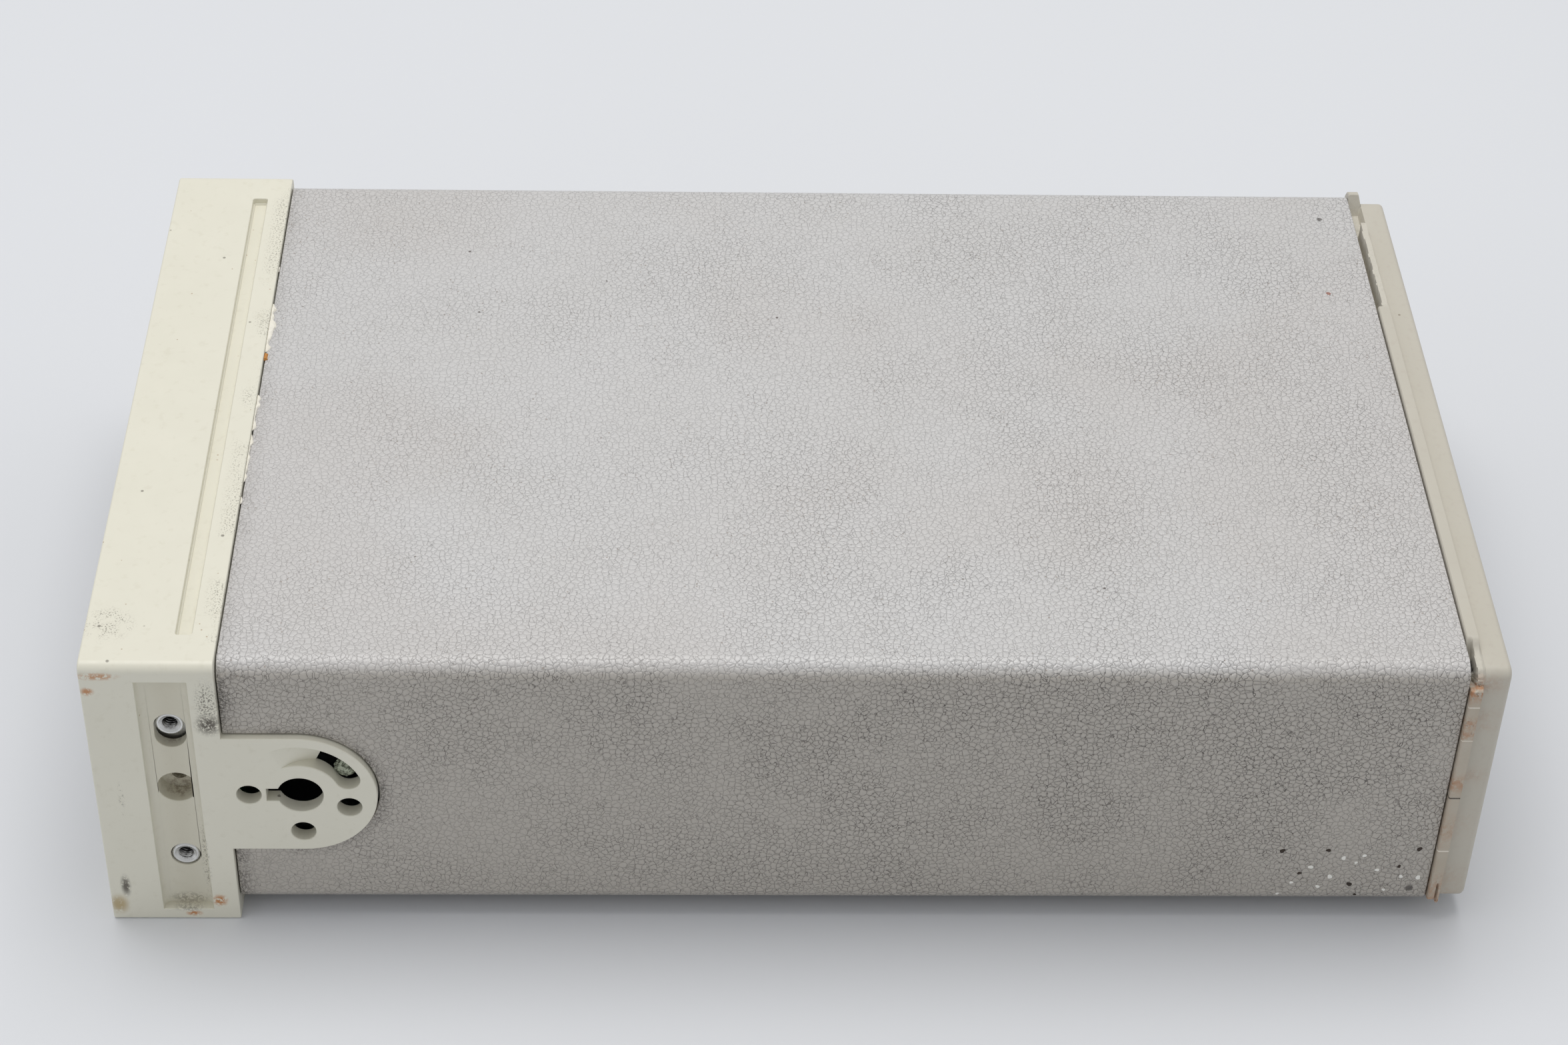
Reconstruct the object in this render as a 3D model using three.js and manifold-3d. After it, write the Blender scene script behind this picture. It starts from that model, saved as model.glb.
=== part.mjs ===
// Audio patch bay in a half-rack-width, two-unit bench enclosure.
//
// Millimetres, +Z up, front facing -Y. The enclosure is a moulded front frame with handle lugs, a grained
// sleeve slid on from behind and a moulded rear bezel, around a chassis that carries two rows of quarter-inch
// jacks, a row of three-position mode switches and two 25-way connectors at the back.
// Inside this file Y counts back from the front face; the assembly group then centres the depth.

import * as THREE from 'three';
import { mergeVertices } from 'three/addons/utils/BufferGeometryUtils.js';
import Module from 'manifold-3d';

const wasm = await Module();
wasm.setup();

// ---------------------------------------------------------------- driving dimensions

const WIDTH = 213;
const HEIGHT = 88.9;
const DEPTH = 353.6;
const GAP = 0.3;

// Front frame.
const FRAME_DEPTH = 33;
const FRAME_TOP_RADIUS = 2.7;
const FRAME_BOTTOM_RADIUS = 0.8;
const FRAME_CHAMFER = 0.8;
const SIDE_WALL = 5.8;
const TOP_WALL = 4.2;
const RIM = 9;
const PANEL_SETBACK = 8;

// Side recess with its two inserts and one screw counterbore, all on one line.
const RECESS = { y0: 13.3, y1: 26.2, z0: 3.7, z1: 83.6, depth: 2.8, cove: 2 };
const INSERT_Y = 20.2;
const UPPER_INSERT_Z = 66.5;
const LOWER_INSERT_Z = 21.1;
const INSERT_RADIUS = 3.55;
const INSERT_BORE_RADIUS = 1.9;
const INSERT_STEM_RADIUS = 2.7;
const OBROUND = { radius: 3.9, z0: 63.2, z1: UPPER_INSERT_Z };
const COUNTERBORE = { z: 45.3, radius: 4.9, depth: 5.3, holeRadius: 2, bossRadius: 7, floor: 2 };

// Shallow groove across the top of the frame.
const GROOVE = { halfLength: 94.5, y0: 22.6, y1: 26.7, depth: 2.1 };

// Handle lug on each side of the frame.
const LUG = { y: 51.4, z: 45.25, radius: 19.4, thickness: 4 };
const LUG_HOLE_RADIUS = 5.8;
const KEYWAY = { reach: 8.5, halfHeight: 2.1 };
const INDEX_HOLE = { radius: 3.15, orbit: 12.9, angles: [180, 270, 340.6] };
const ARC_SLOT = { orbit: 13.3, halfWidth: 3.1, shallowEnd: 115, throughFrom: 63, deepEnd: 23,
                   startDepth: 0.2, overlap: 1.5 };

// Sleeve.
const SLEEVE = { halfWidth: 104.9, z0: 4.6, z1: 87.8, radius: 5, wall: 1.9, end: 342.7, notchGap: 0.4 };

// Rear bezel: a body behind the sleeve, a lip that stands proud around the sleeve's end, and a spigot inside.
const BEZEL = { halfWidth: 103.1, z0: 5, z1: 85.8, radius: 3, front: 346.8,
                openHalfWidth: 82, openZ0: 12, openZ1: 79 };
const LIP = { halfWidth: 106.2, z0: 3.5, z1: 88.9, radius: 5, y0: 343 };
const LIP_BREAK = { farEnd: -101, farStart: -48, stripWidth: 1.4, nearStart: 89, nearBottom: 83 };
const SPIGOT = { y0: 336.5, clearance: 0.4, wall: 2.4, radius: 2.6 };
const BEZEL_SCREW = { x: 94, z: 45.2, headRadius: 3.5, headRecess: 2.6, shankRadius: 2, end: 327,
                      slotDepth: 1.2, slotHalfWidth: 0.5, slotHalfLength: 2.6 };

// Chassis.
const RAIL = { x0: 98.4, x1: 100, y0: 12, y1: 335, z0: 10, z1: 80, cornerRadius: 2 };
const LIGHTENING = { y: [115, 185, 255], halfLength: 25, z0: 30, z1: 60, radius: 8 };
const TRAY = { halfWidth: 97.9, y0: 12, y1: 336, z0: 8, sheet: 1.2, flangeTop: 22,
               tabInner: 90, tabY0: 329, tabTop: 52 };
const VENT = { y: [90, 130, 170, 210, 250], halfLength: 60, width: 6 };

// Panels.
const FRONT_PANEL = { halfWidth: 100.2, z0: 4.6, z1: 84.3, thickness: 2 };
const REAR_PANEL = { halfWidth: 84.4, z0: 10.4, z1: 80.6, y0: 344.6, y1: 347.1 };

// Jack field: columns of an upper and a lower jack with a mode switch between them.
const COLUMNS = 8;
const PITCH = 22;
const LOWER_ROW_Z = 24.4;
const UPPER_ROW_Z = 64.5;
const SWITCH_ROW_Z = 44.45;
const JACK = { boreRadius: 3.3, bushRadius: 4.75, nose: 4.2, nutFlat: 12, nutFront: 5.4, bodyWidth: 16,
               bodyHeight: 20, bodyEnd: 33, boreEnd: 32 };
const SWITCH = { travel: 2, baseLength: 8, baseHeight: 5, baseDepth: 2.4, stemLength: 5, stemHeight: 3.4,
                 capFront: 4.4, housingLength: 17, housingHeight: 9.4, housingEnd: 33,
                 ridgePitch: 1.6, ridgeHalfWidth: 0.3, ridgeHeight: 0.5 };

// Boards, connectors and cables.
const JACK_BOARD = { halfWidth: 95, z0: 10.5, z1: 78.5, y: 33.4, thickness: 1.6 };
const REAR_BOARD = { halfWidth: 75, z0: 12, z1: 78, y: 322, thickness: 1.6 };
const HEADER = { width: 38, height: 9, depth: 8, x: 45, z: 44 };
const RIBBON = { width: 32, thickness: 1.2, sagZ: 20, bend: 90 };
const D_SUB = { z: [24, 66.4], flangeHalfWidth: 26.5, flangeHalfHeight: 6.2,
                shellTop: 19.4, shellBottom: 17.6, shellHalfHeight: 4.2, shellEnd: 353.1,
                postX: 23.5, postRadius: 2.4, postBore: 1.3,
                flangeRadius: 1.5, flangeThickness: 1, rearGrow: 0.6 };

const FOOT = { x: 78, y: 318, radius: 7, taper: 1 };
const PANEL_SCREW = { x: 91.5, z: [14.5, 74.5], headRadius: 2.8, headHeight: 1.8, shankRadius: 1.4,
                      end: 19, slotDepth: 0.9, slotHalfWidth: 0.4, slotHalfLength: 2 };
const STANDOFF_RADIUS = 3;
const GROUND = { z: 45.2, radius: 2, headRadius: 4, headHeight: 2, nutFlat: 8, nutHeight: 3,
                 tipClearance: 0.6 };

const CIRCLE = 20;
const SMALL_CIRCLE = 14;
const SCREW_CIRCLE = 12;
const HALF_WIDTH = WIDTH / 2;
const DEGREE = Math.PI / 180;
const OVERCUT = 1;

// ---------------------------------------------------------------- solids

// Turns a three.js geometry into a solid that can be joined and cut.
function solidFrom(geometry) {
  geometry.deleteAttribute('normal');
  geometry.deleteAttribute('uv');
  const merged = mergeVertices(geometry, 1e-5);
  const vertProperties = new Float32Array(merged.attributes.position.array);
  const triVerts = new Uint32Array(merged.index.array);
  return new wasm.Manifold(new wasm.Mesh({ numProp: 3, vertProperties, triVerts }));
}

// Turns a solid back into a geometry for a mesh.
function geometryFrom(solid) {
  const { vertProperties, triVerts } = solid.getMesh();
  const geometry = new THREE.BufferGeometry();
  geometry.setAttribute('position', new THREE.BufferAttribute(new Float32Array(vertProperties), 3));
  geometry.setIndex(new THREE.BufferAttribute(new Uint32Array(triVerts), 1));
  geometry.computeVertexNormals();
  return geometry;
}

const joined = (...solids) => solids.reduce((whole, solid) => whole.add(solid));
const cut = (solid, ...cutters) => cutters.reduce((rest, cutter) => rest.subtract(cutter), solid);

function block(x0, x1, y0, y1, z0, z1) {
  const geometry = new THREE.BoxGeometry(Math.abs(x1 - x0), y1 - y0, z1 - z0);
  geometry.translate((x0 + x1) / 2, (y0 + y1) / 2, (z0 + z1) / 2);
  return solidFrom(geometry);
}

// Carries an outline drawn in X and Y, with thickness along Z, over to Y, Z and X.
const TO_SIDE = new THREE.Matrix4().makeBasis(
  new THREE.Vector3(0, 1, 0), new THREE.Vector3(0, 0, 1), new THREE.Vector3(1, 0, 0));

const extruded = (shape, length, curveSegments, bevel = {}) =>
  new THREE.ExtrudeGeometry(shape, { depth: length, curveSegments, bevelEnabled: false, ...bevel });

// An outline drawn in X and Z, given thickness along Y.
function plateAlongY(shape, y0, y1, curveSegments = 4, bevel = {}) {
  const geometry = extruded(shape, y1 - y0, curveSegments, bevel);
  geometry.rotateX(Math.PI / 2);
  geometry.translate(0, y1, 0);
  return solidFrom(geometry);
}

// An outline drawn in Y and Z, given thickness along X between two places in either order.
function sheetAlongX(shape, xa, xb, curveSegments = 6) {
  const geometry = extruded(shape, Math.abs(xb - xa), curveSegments);
  geometry.applyMatrix4(TO_SIDE);
  geometry.translate(Math.min(xa, xb), 0, 0);
  return solidFrom(geometry);
}

// A round bar along X between two places in either order.
function rodAlongX(radius, xa, xb, y, z, segments = SMALL_CIRCLE) {
  const geometry = new THREE.CylinderGeometry(radius, radius, Math.abs(xb - xa), segments);
  geometry.rotateZ(Math.PI / 2);
  geometry.translate((xa + xb) / 2, y, z);
  return solidFrom(geometry);
}

// A round bar along Y; six segments and a flat-to-flat width make a hexagon nut.
function rodAlongY(radius, x, y0, y1, z, segments = SMALL_CIRCLE) {
  const geometry = new THREE.CylinderGeometry(radius, radius, y1 - y0, segments);
  geometry.translate(x, (y0 + y1) / 2, z);
  return solidFrom(geometry);
}

const hexRadius = (flatToFlat) => flatToFlat / Math.sqrt(3);

function roundedRect(a0, a1, b0, b1, lowRadius, highRadius = lowRadius) {
  const shape = new THREE.Shape();
  shape.absarc(a1 - lowRadius, b0 + lowRadius, lowRadius, -Math.PI / 2, 0);
  shape.absarc(a1 - highRadius, b1 - highRadius, highRadius, 0, Math.PI / 2);
  shape.absarc(a0 + highRadius, b1 - highRadius, highRadius, Math.PI / 2, Math.PI);
  shape.absarc(a0 + lowRadius, b0 + lowRadius, lowRadius, Math.PI, 1.5 * Math.PI);
  shape.closePath();
  return shape;
}

// A slot outline with round ends, standing upright at y.
function uprightObround(y, z0, z1, radius) {
  const shape = new THREE.Shape();
  shape.absarc(y, z0, radius, Math.PI, 2 * Math.PI);
  shape.absarc(y, z1, radius, 0, Math.PI);
  shape.closePath();
  return shape;
}

// ---------------------------------------------------------------- front frame

// The lug's outline: straight from the frame's back, then half a circle. grow moves it outward.
function lugOutline(startY, grow) {
  const radius = LUG.radius + grow;
  const shape = new THREE.Shape();
  shape.moveTo(startY, LUG.z - radius);
  shape.lineTo(LUG.y, LUG.z - radius);
  shape.absarc(LUG.y, LUG.z, radius, -Math.PI / 2, Math.PI / 2);
  shape.lineTo(startY, LUG.z + radius);
  shape.closePath();
  return shape;
}

// Part of a ring about the lug's centre, between two angles in degrees, with an optional round far end.
function arcSlotOutline(fromAngle, toAngle) {
  const { orbit, halfWidth, deepEnd } = ARC_SLOT;
  const shape = new THREE.Shape();
  shape.absarc(LUG.y, LUG.z, orbit + halfWidth, toAngle * DEGREE, fromAngle * DEGREE);
  shape.absarc(LUG.y, LUG.z, orbit - halfWidth, fromAngle * DEGREE, toAngle * DEGREE, true);
  if (toAngle === deepEnd) {
    const endY = LUG.y + orbit * Math.cos(toAngle * DEGREE);
    const endZ = LUG.z + orbit * Math.sin(toAngle * DEGREE);
    shape.absarc(endY, endZ, halfWidth, (toAngle + 180) * DEGREE, (toAngle + 360) * DEGREE);
  }
  shape.closePath();
  return shape;
}

// The shallow half of the arc slot: its floor falls evenly with the angle until it breaks through.
function rampCutter(side) {
  const outline = arcSlotOutline(ARC_SLOT.shallowEnd, ARC_SLOT.throughFrom);
  const geometry = extruded(outline, OVERCUT, 8);
  geometry.applyMatrix4(TO_SIDE);
  geometry.translate(side > 0 ? HALF_WIDTH : -HALF_WIDTH - OVERCUT, 0, 0);
  const position = geometry.attributes.position;
  const sweep = ARC_SLOT.shallowEnd - ARC_SLOT.throughFrom;
  for (let i = 0; i < position.count; i += 1) {
    const outside = Math.abs(position.getX(i)) > HALF_WIDTH + OVERCUT / 2;
    if (!outside) {
      const angle = Math.atan2(position.getZ(i) - LUG.z, position.getY(i) - LUG.y) / DEGREE;
      const fall = LUG.thickness + GAP - ARC_SLOT.startDepth;
      const depth = ARC_SLOT.startDepth + fall * (ARC_SLOT.shallowEnd - angle) / sweep;
      position.setX(i, side * (HALF_WIDTH - depth));
    }
  }
  return solidFrom(geometry);
}

function lugCutters(side) {
  const outer = side * (HALF_WIDTH + OVERCUT);
  const inner = side * (HALF_WIDTH - LUG.thickness - OVERCUT);
  const holes = INDEX_HOLE.angles.map((angle) => rodAlongX(INDEX_HOLE.radius, inner, outer,
    LUG.y + INDEX_HOLE.orbit * Math.cos(angle * DEGREE),
    LUG.z + INDEX_HOLE.orbit * Math.sin(angle * DEGREE)));
  const keyway = block(inner, outer, LUG.y - KEYWAY.reach, LUG.y,
    LUG.z - KEYWAY.halfHeight, LUG.z + KEYWAY.halfHeight);
  const centre = rodAlongX(LUG_HOLE_RADIUS, inner, outer, LUG.y, LUG.z, CIRCLE);
  const slotOutline = arcSlotOutline(ARC_SLOT.throughFrom + ARC_SLOT.overlap, ARC_SLOT.deepEnd);
  const slot = sheetAlongX(slotOutline, inner, outer, 7);
  return [...holes, keyway, centre, slot, rampCutter(side)];
}

// Everything that is cut into one side wall of the frame: recess, insert holes and counterbore.
function sideCutters(side) {
  const outer = side * (HALF_WIDTH + OVERCUT);
  const floor = side * (HALF_WIDTH - RECESS.depth);
  const wallInside = side * (HALF_WIDTH - SIDE_WALL - OVERCUT);
  const recessMouth = floor + side * (2 * RECESS.cove + OVERCUT);
  const recess = extruded(roundedRect(Math.min(floor, recessMouth), Math.max(floor, recessMouth),
    RECESS.y0, RECESS.y1, RECESS.cove), RECESS.z1 - RECESS.z0, 4);
  recess.translate(0, 0, RECESS.z0);
  const counterboreEnd = side * (HALF_WIDTH - RECESS.depth - COUNTERBORE.depth);
  return [
    solidFrom(recess),
    sheetAlongX(uprightObround(INSERT_Y, OBROUND.z0, OBROUND.z1, OBROUND.radius), wallInside, outer),
    rodAlongX(INSERT_RADIUS + GAP, wallInside, outer, INSERT_Y, LOWER_INSERT_Z, CIRCLE),
    rodAlongX(COUNTERBORE.radius, counterboreEnd, outer, INSERT_Y, COUNTERBORE.z, CIRCLE),
    rodAlongX(COUNTERBORE.holeRadius, side * (HALF_WIDTH / 2), outer, INSERT_Y, COUNTERBORE.z),
  ];
}

function frontFrame() {
  const outline = roundedRect(-HALF_WIDTH + FRAME_CHAMFER, HALF_WIDTH - FRAME_CHAMFER, FRAME_CHAMFER,
    HEIGHT - FRAME_CHAMFER, FRAME_BOTTOM_RADIUS / 4, FRAME_TOP_RADIUS - FRAME_CHAMFER);
  const bevel = {
    bevelEnabled: true, bevelSize: FRAME_CHAMFER, bevelThickness: FRAME_CHAMFER, bevelSegments: 1,
  };
  const bar = plateAlongY(outline, FRAME_CHAMFER, FRAME_DEPTH + 2 * FRAME_CHAMFER, 4, bevel);
  const backCut = block(-WIDTH, WIDTH, FRAME_DEPTH, FRAME_DEPTH + RIM, -HEIGHT, 2 * HEIGHT);
  const window = block(-HALF_WIDTH + RIM, HALF_WIDTH - RIM, -OVERCUT, PANEL_SETBACK + OVERCUT,
    RIM - OVERCUT, HEIGHT - RIM + OVERCUT);
  const cavity = block(-HALF_WIDTH + SIDE_WALL, HALF_WIDTH - SIDE_WALL, PANEL_SETBACK - GAP,
    FRAME_DEPTH + OVERCUT, TOP_WALL, HEIGHT - TOP_WALL);
  const groove = block(-GROOVE.halfLength, GROOVE.halfLength, GROOVE.y0, GROOVE.y1,
    HEIGHT - GROOVE.depth, HEIGHT + OVERCUT);
  let frame = cut(bar, backCut, window, cavity, groove);
  for (const side of [1, -1]) {
    const lugInside = side * (HALF_WIDTH - LUG.thickness);
    const lug = sheetAlongX(lugOutline(FRAME_DEPTH - OVERCUT, 0), lugInside, side * HALF_WIDTH, 14);
    const bossEnd = side * (HALF_WIDTH - RECESS.depth - COUNTERBORE.depth - COUNTERBORE.floor);
    const boss = rodAlongX(COUNTERBORE.bossRadius, bossEnd, side * (HALF_WIDTH - SIDE_WALL + OVERCUT),
      INSERT_Y, COUNTERBORE.z, CIRCLE);
    frame = cut(joined(frame, lug, boss), ...lugCutters(side), ...sideCutters(side));
  }
  return frame;
}

// ---------------------------------------------------------------- sleeve and rear bezel

function caseSleeve() {
  const { halfWidth, z0, z1, radius, wall, end, notchGap } = SLEEVE;
  const start = FRAME_DEPTH + GAP;
  const outside = plateAlongY(roundedRect(-halfWidth, halfWidth, z0, z1, radius), start, end);
  const inside = plateAlongY(roundedRect(-halfWidth + wall, halfWidth - wall, z0 + wall, z1 - wall,
    radius - wall), start - OVERCUT, end + OVERCUT);
  const notch = lugOutline(start - OVERCUT, notchGap);
  return cut(outside, inside,
    sheetAlongX(notch, halfWidth / 2, halfWidth + OVERCUT, 14),
    sheetAlongX(notch, -halfWidth / 2, -halfWidth - OVERCUT, 14));
}

// The lip lost pieces in use: a long stretch of its front at the far top, and the whole near top corner.
function lipBreaks() {
  const stripStart = BEZEL.front - LIP_BREAK.stripWidth;
  const farStretch = block(LIP_BREAK.farEnd, LIP_BREAK.farStart, LIP.y0 - OVERCUT, stripStart,
    SLEEVE.z1 - SLEEVE.wall, LIP.z1 + OVERCUT);
  const nearTop = block(LIP_BREAK.nearStart, LIP.halfWidth + OVERCUT, LIP.y0 - OVERCUT, BEZEL.front,
    BEZEL.z1, LIP.z1 + OVERCUT);
  const nearSide = block(BEZEL.halfWidth, LIP.halfWidth + OVERCUT, LIP.y0 - OVERCUT, BEZEL.front,
    LIP_BREAK.nearBottom, LIP.z1 + OVERCUT);
  return [farStretch, nearTop, nearSide];
}

function rearBezel() {
  const body = plateAlongY(roundedRect(-BEZEL.halfWidth, BEZEL.halfWidth, BEZEL.z0, BEZEL.z1, BEZEL.radius),
    LIP.y0, DEPTH);
  const lip = plateAlongY(roundedRect(-LIP.halfWidth, LIP.halfWidth, LIP.z0, LIP.z1, LIP.radius),
    LIP.y0, BEZEL.front);
  const inset = SLEEVE.wall + SPIGOT.clearance;
  const spigotX = SLEEVE.halfWidth - inset;
  const spigot = plateAlongY(roundedRect(-spigotX, spigotX, SLEEVE.z0 + inset, SLEEVE.z1 - inset,
    SPIGOT.radius), SPIGOT.y0, LIP.y0 + OVERCUT);
  const spigotHollow = block(-spigotX + SPIGOT.wall, spigotX - SPIGOT.wall, SPIGOT.y0 - OVERCUT, LIP.y0,
    SLEEVE.z0 + inset + SPIGOT.wall, SLEEVE.z1 - inset - SPIGOT.wall);
  const opening = block(-BEZEL.openHalfWidth, BEZEL.openHalfWidth, LIP.y0 - OVERCUT, DEPTH + OVERCUT,
    BEZEL.openZ0, BEZEL.openZ1);
  const panelPocket = block(-REAR_PANEL.halfWidth - GAP, REAR_PANEL.halfWidth + GAP, LIP.y0 - OVERCUT,
    REAR_PANEL.y1 + GAP, REAR_PANEL.z0 - GAP, REAR_PANEL.z1 + GAP);
  const screwCuts = [1, -1].flatMap((side) => [
    rodAlongY(BEZEL_SCREW.headRadius + GAP, side * BEZEL_SCREW.x, DEPTH - BEZEL_SCREW.headRecess,
      DEPTH + OVERCUT, BEZEL_SCREW.z, CIRCLE),
    rodAlongY(BEZEL_SCREW.shankRadius + GAP, side * BEZEL_SCREW.x, LIP.y0 - OVERCUT, DEPTH,
      BEZEL_SCREW.z),
  ]);
  const whole = joined(body, cut(lip, ...lipBreaks()), spigot);
  return cut(whole, spigotHollow, opening, panelPocket, ...screwCuts);
}

function bezelScrew(side) {
  const { z, headRadius, headRecess, shankRadius, end } = BEZEL_SCREW;
  const { slotDepth, slotHalfWidth, slotHalfLength } = BEZEL_SCREW;
  const x = side * BEZEL_SCREW.x;
  const headFront = DEPTH - headRecess + GAP;
  const head = rodAlongY(headRadius, x, headFront, DEPTH - GAP, z, CIRCLE);
  const shank = rodAlongY(shankRadius, x, end, headFront + OVERCUT, z);
  const driveSlot = block(x - slotHalfLength, x + slotHalfLength, DEPTH - slotDepth, DEPTH,
    z - slotHalfWidth, z + slotHalfWidth);
  return cut(joined(head, shank), driveSlot);
}

// ---------------------------------------------------------------- chassis

function sideRail(side) {
  const outline = roundedRect(RAIL.y0, RAIL.y1, RAIL.z0, RAIL.z1, RAIL.cornerRadius);
  const plate = sheetAlongX(outline, side * RAIL.x0, side * RAIL.x1, 3);
  const inside = side * (RAIL.x0 - OVERCUT);
  const outside = side * (RAIL.x1 + OVERCUT);
  const { halfLength, z0, z1, radius } = LIGHTENING;
  const lighteningHoles = LIGHTENING.y.map((y) => sheetAlongX(
    roundedRect(y - halfLength, y + halfLength, z0, z1, radius), inside, outside, 4));
  return cut(plate, ...lighteningHoles,
    rodAlongX(LUG.radius - 2, inside, outside, LUG.y, LUG.z, CIRCLE),
    rodAlongX(COUNTERBORE.bossRadius + 0.5, inside, outside, INSERT_Y, COUNTERBORE.z, CIRCLE),
    rodAlongX(INSERT_STEM_RADIUS + GAP, inside, outside, INSERT_Y, UPPER_INSERT_Z),
    rodAlongX(INSERT_STEM_RADIUS + GAP, inside, outside, INSERT_Y, LOWER_INSERT_Z));
}

// A threaded insert: flange outside the rail, stem through it, bore right through.
function threadedInsert(side, z, standOut) {
  const face = HALF_WIDTH - RECESS.depth - standOut;
  const flange = rodAlongX(INSERT_RADIUS, side * (RAIL.x1 + GAP), side * face, INSERT_Y, z, CIRCLE);
  const stem = rodAlongX(INSERT_STEM_RADIUS, side * (RAIL.x0 - 0.4), side * (RAIL.x1 + OVERCUT), INSERT_Y, z);
  const bore = rodAlongX(INSERT_BORE_RADIUS, side * (RAIL.x0 - OVERCUT), side * HALF_WIDTH, INSERT_Y, z);
  return cut(joined(flange, stem), bore);
}

function chassisTray() {
  const { halfWidth, y0, y1, z0, sheet, flangeTop } = TRAY;
  const floor = block(-halfWidth, halfWidth, y0, y1, z0, z0 + sheet);
  const parts = [1, -1].flatMap((side) => [
    block(side * (halfWidth - sheet), side * halfWidth, y0, y1, z0, flangeTop),
    cut(block(side * TRAY.tabInner, side * halfWidth, TRAY.tabY0, y1, z0, TRAY.tabTop),
      rodAlongY(BEZEL_SCREW.shankRadius + GAP, side * BEZEL_SCREW.x, TRAY.tabY0 - OVERCUT, y1 + OVERCUT,
        BEZEL_SCREW.z)),
  ]);
  const vents = VENT.y.map((y) => block(-VENT.halfLength, VENT.halfLength, y, y + VENT.width,
    z0 - OVERCUT, z0 + sheet + OVERCUT));
  return cut(joined(floor, ...parts), ...vents);
}

// The foot is widest against the sleeve and narrows towards the table.
function rubberFoot(side) {
  const height = SLEEVE.z0 - GAP;
  const geometry = new THREE.CylinderGeometry(FOOT.radius - FOOT.taper, FOOT.radius, height, CIRCLE);
  geometry.rotateX(-Math.PI / 2);
  geometry.translate(side * FOOT.x, FOOT.y, height / 2);
  return solidFrom(geometry);
}

// ---------------------------------------------------------------- jack field

const columnX = (column) => (column - (COLUMNS - 1) / 2) * PITCH;
const panelBack = PANEL_SETBACK + FRONT_PANEL.thickness;

function frontPanel() {
  const { halfWidth, z0, z1 } = FRONT_PANEL;
  const plate = block(-halfWidth, halfWidth, PANEL_SETBACK, panelBack, z0, z1);
  const slotHalf = SWITCH.stemLength / 2 + SWITCH.travel + GAP;
  const slotHalfHeight = SWITCH.stemHeight / 2 + GAP;
  const cutters = [];
  for (let column = 0; column < COLUMNS; column += 1) {
    const x = columnX(column);
    for (const z of [LOWER_ROW_Z, UPPER_ROW_Z]) {
      cutters.push(rodAlongY(JACK.bushRadius + GAP, x, 0, panelBack + OVERCUT, z));
    }
    cutters.push(block(x - slotHalf, x + slotHalf, 0, panelBack + OVERCUT,
      SWITCH_ROW_Z - slotHalfHeight, SWITCH_ROW_Z + slotHalfHeight));
  }
  for (const side of [1, -1]) {
    for (const z of PANEL_SCREW.z) {
      cutters.push(rodAlongY(PANEL_SCREW.shankRadius + GAP, side * PANEL_SCREW.x, 0, panelBack + OVERCUT, z,
        SCREW_CIRCLE));
    }
  }
  return cut(plate, ...cutters);
}

// A quarter-inch jack: plastic body behind the panel, threaded bushing through it and its nut in front.
function jack(x, z) {
  const body = block(x - JACK.bodyWidth / 2, x + JACK.bodyWidth / 2, panelBack + GAP, JACK.bodyEnd,
    z - JACK.bodyHeight / 2, z + JACK.bodyHeight / 2);
  const bushing = rodAlongY(JACK.bushRadius, x, JACK.nose, panelBack + OVERCUT, z);
  const nut = rodAlongY(hexRadius(JACK.nutFlat), x, JACK.nutFront, PANEL_SETBACK - GAP, z, 6);
  const bore = rodAlongY(JACK.boreRadius, x, JACK.nose - OVERCUT, JACK.boreEnd, z);
  return cut(joined(body, bushing, nut), bore);
}

const pocketHalf = SWITCH.baseLength / 2 + SWITCH.travel + GAP;

function modeSwitch(x) {
  const z = SWITCH_ROW_Z;
  const housing = block(x - SWITCH.housingLength / 2, x + SWITCH.housingLength / 2, panelBack + GAP,
    SWITCH.housingEnd, z - SWITCH.housingHeight / 2, z + SWITCH.housingHeight / 2);
  const pocketHalfHeight = SWITCH.baseHeight / 2 + GAP;
  const pocket = block(x - pocketHalf, x + pocketHalf, panelBack, panelBack + SWITCH.baseDepth + 3 * GAP,
    z - pocketHalfHeight, z + pocketHalfHeight);
  return cut(housing, pocket);
}

function modeSlider(x) {
  const z = SWITCH_ROW_Z;
  const baseFront = panelBack + 1.5 * GAP;
  const base = block(x - SWITCH.baseLength / 2, x + SWITCH.baseLength / 2, baseFront,
    baseFront + SWITCH.baseDepth, z - SWITCH.baseHeight / 2, z + SWITCH.baseHeight / 2);
  const stem = block(x - SWITCH.stemLength / 2, x + SWITCH.stemLength / 2,
    SWITCH.capFront, baseFront + OVERCUT, z - SWITCH.stemHeight / 2, z + SWITCH.stemHeight / 2);
  const gripRidges = [-1, 0, 1].map((place) => {
    const ridgeX = x + place * SWITCH.ridgePitch;
    return block(ridgeX - SWITCH.ridgeHalfWidth, ridgeX + SWITCH.ridgeHalfWidth,
      SWITCH.capFront - SWITCH.ridgeHeight, SWITCH.capFront + OVERCUT,
      z - SWITCH.stemHeight / 2, z + SWITCH.stemHeight / 2);
  });
  return joined(base, stem, ...gripRidges);
}

function panelScrew(side, z) {
  const x = side * PANEL_SCREW.x;
  const headFront = PANEL_SETBACK - GAP - PANEL_SCREW.headHeight;
  const head = rodAlongY(PANEL_SCREW.headRadius, x, headFront, PANEL_SETBACK - GAP, z);
  const shank = rodAlongY(PANEL_SCREW.shankRadius, x, PANEL_SETBACK - OVERCUT, PANEL_SCREW.end, z,
    SCREW_CIRCLE);
  const { slotDepth, slotHalfWidth, slotHalfLength } = PANEL_SCREW;
  const driveSlot = block(x - slotHalfLength, x + slotHalfLength, headFront - OVERCUT, headFront + slotDepth,
    z - slotHalfWidth, z + slotHalfWidth);
  return cut(joined(head, shank), driveSlot);
}

// ---------------------------------------------------------------- boards, connectors and cables

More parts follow.
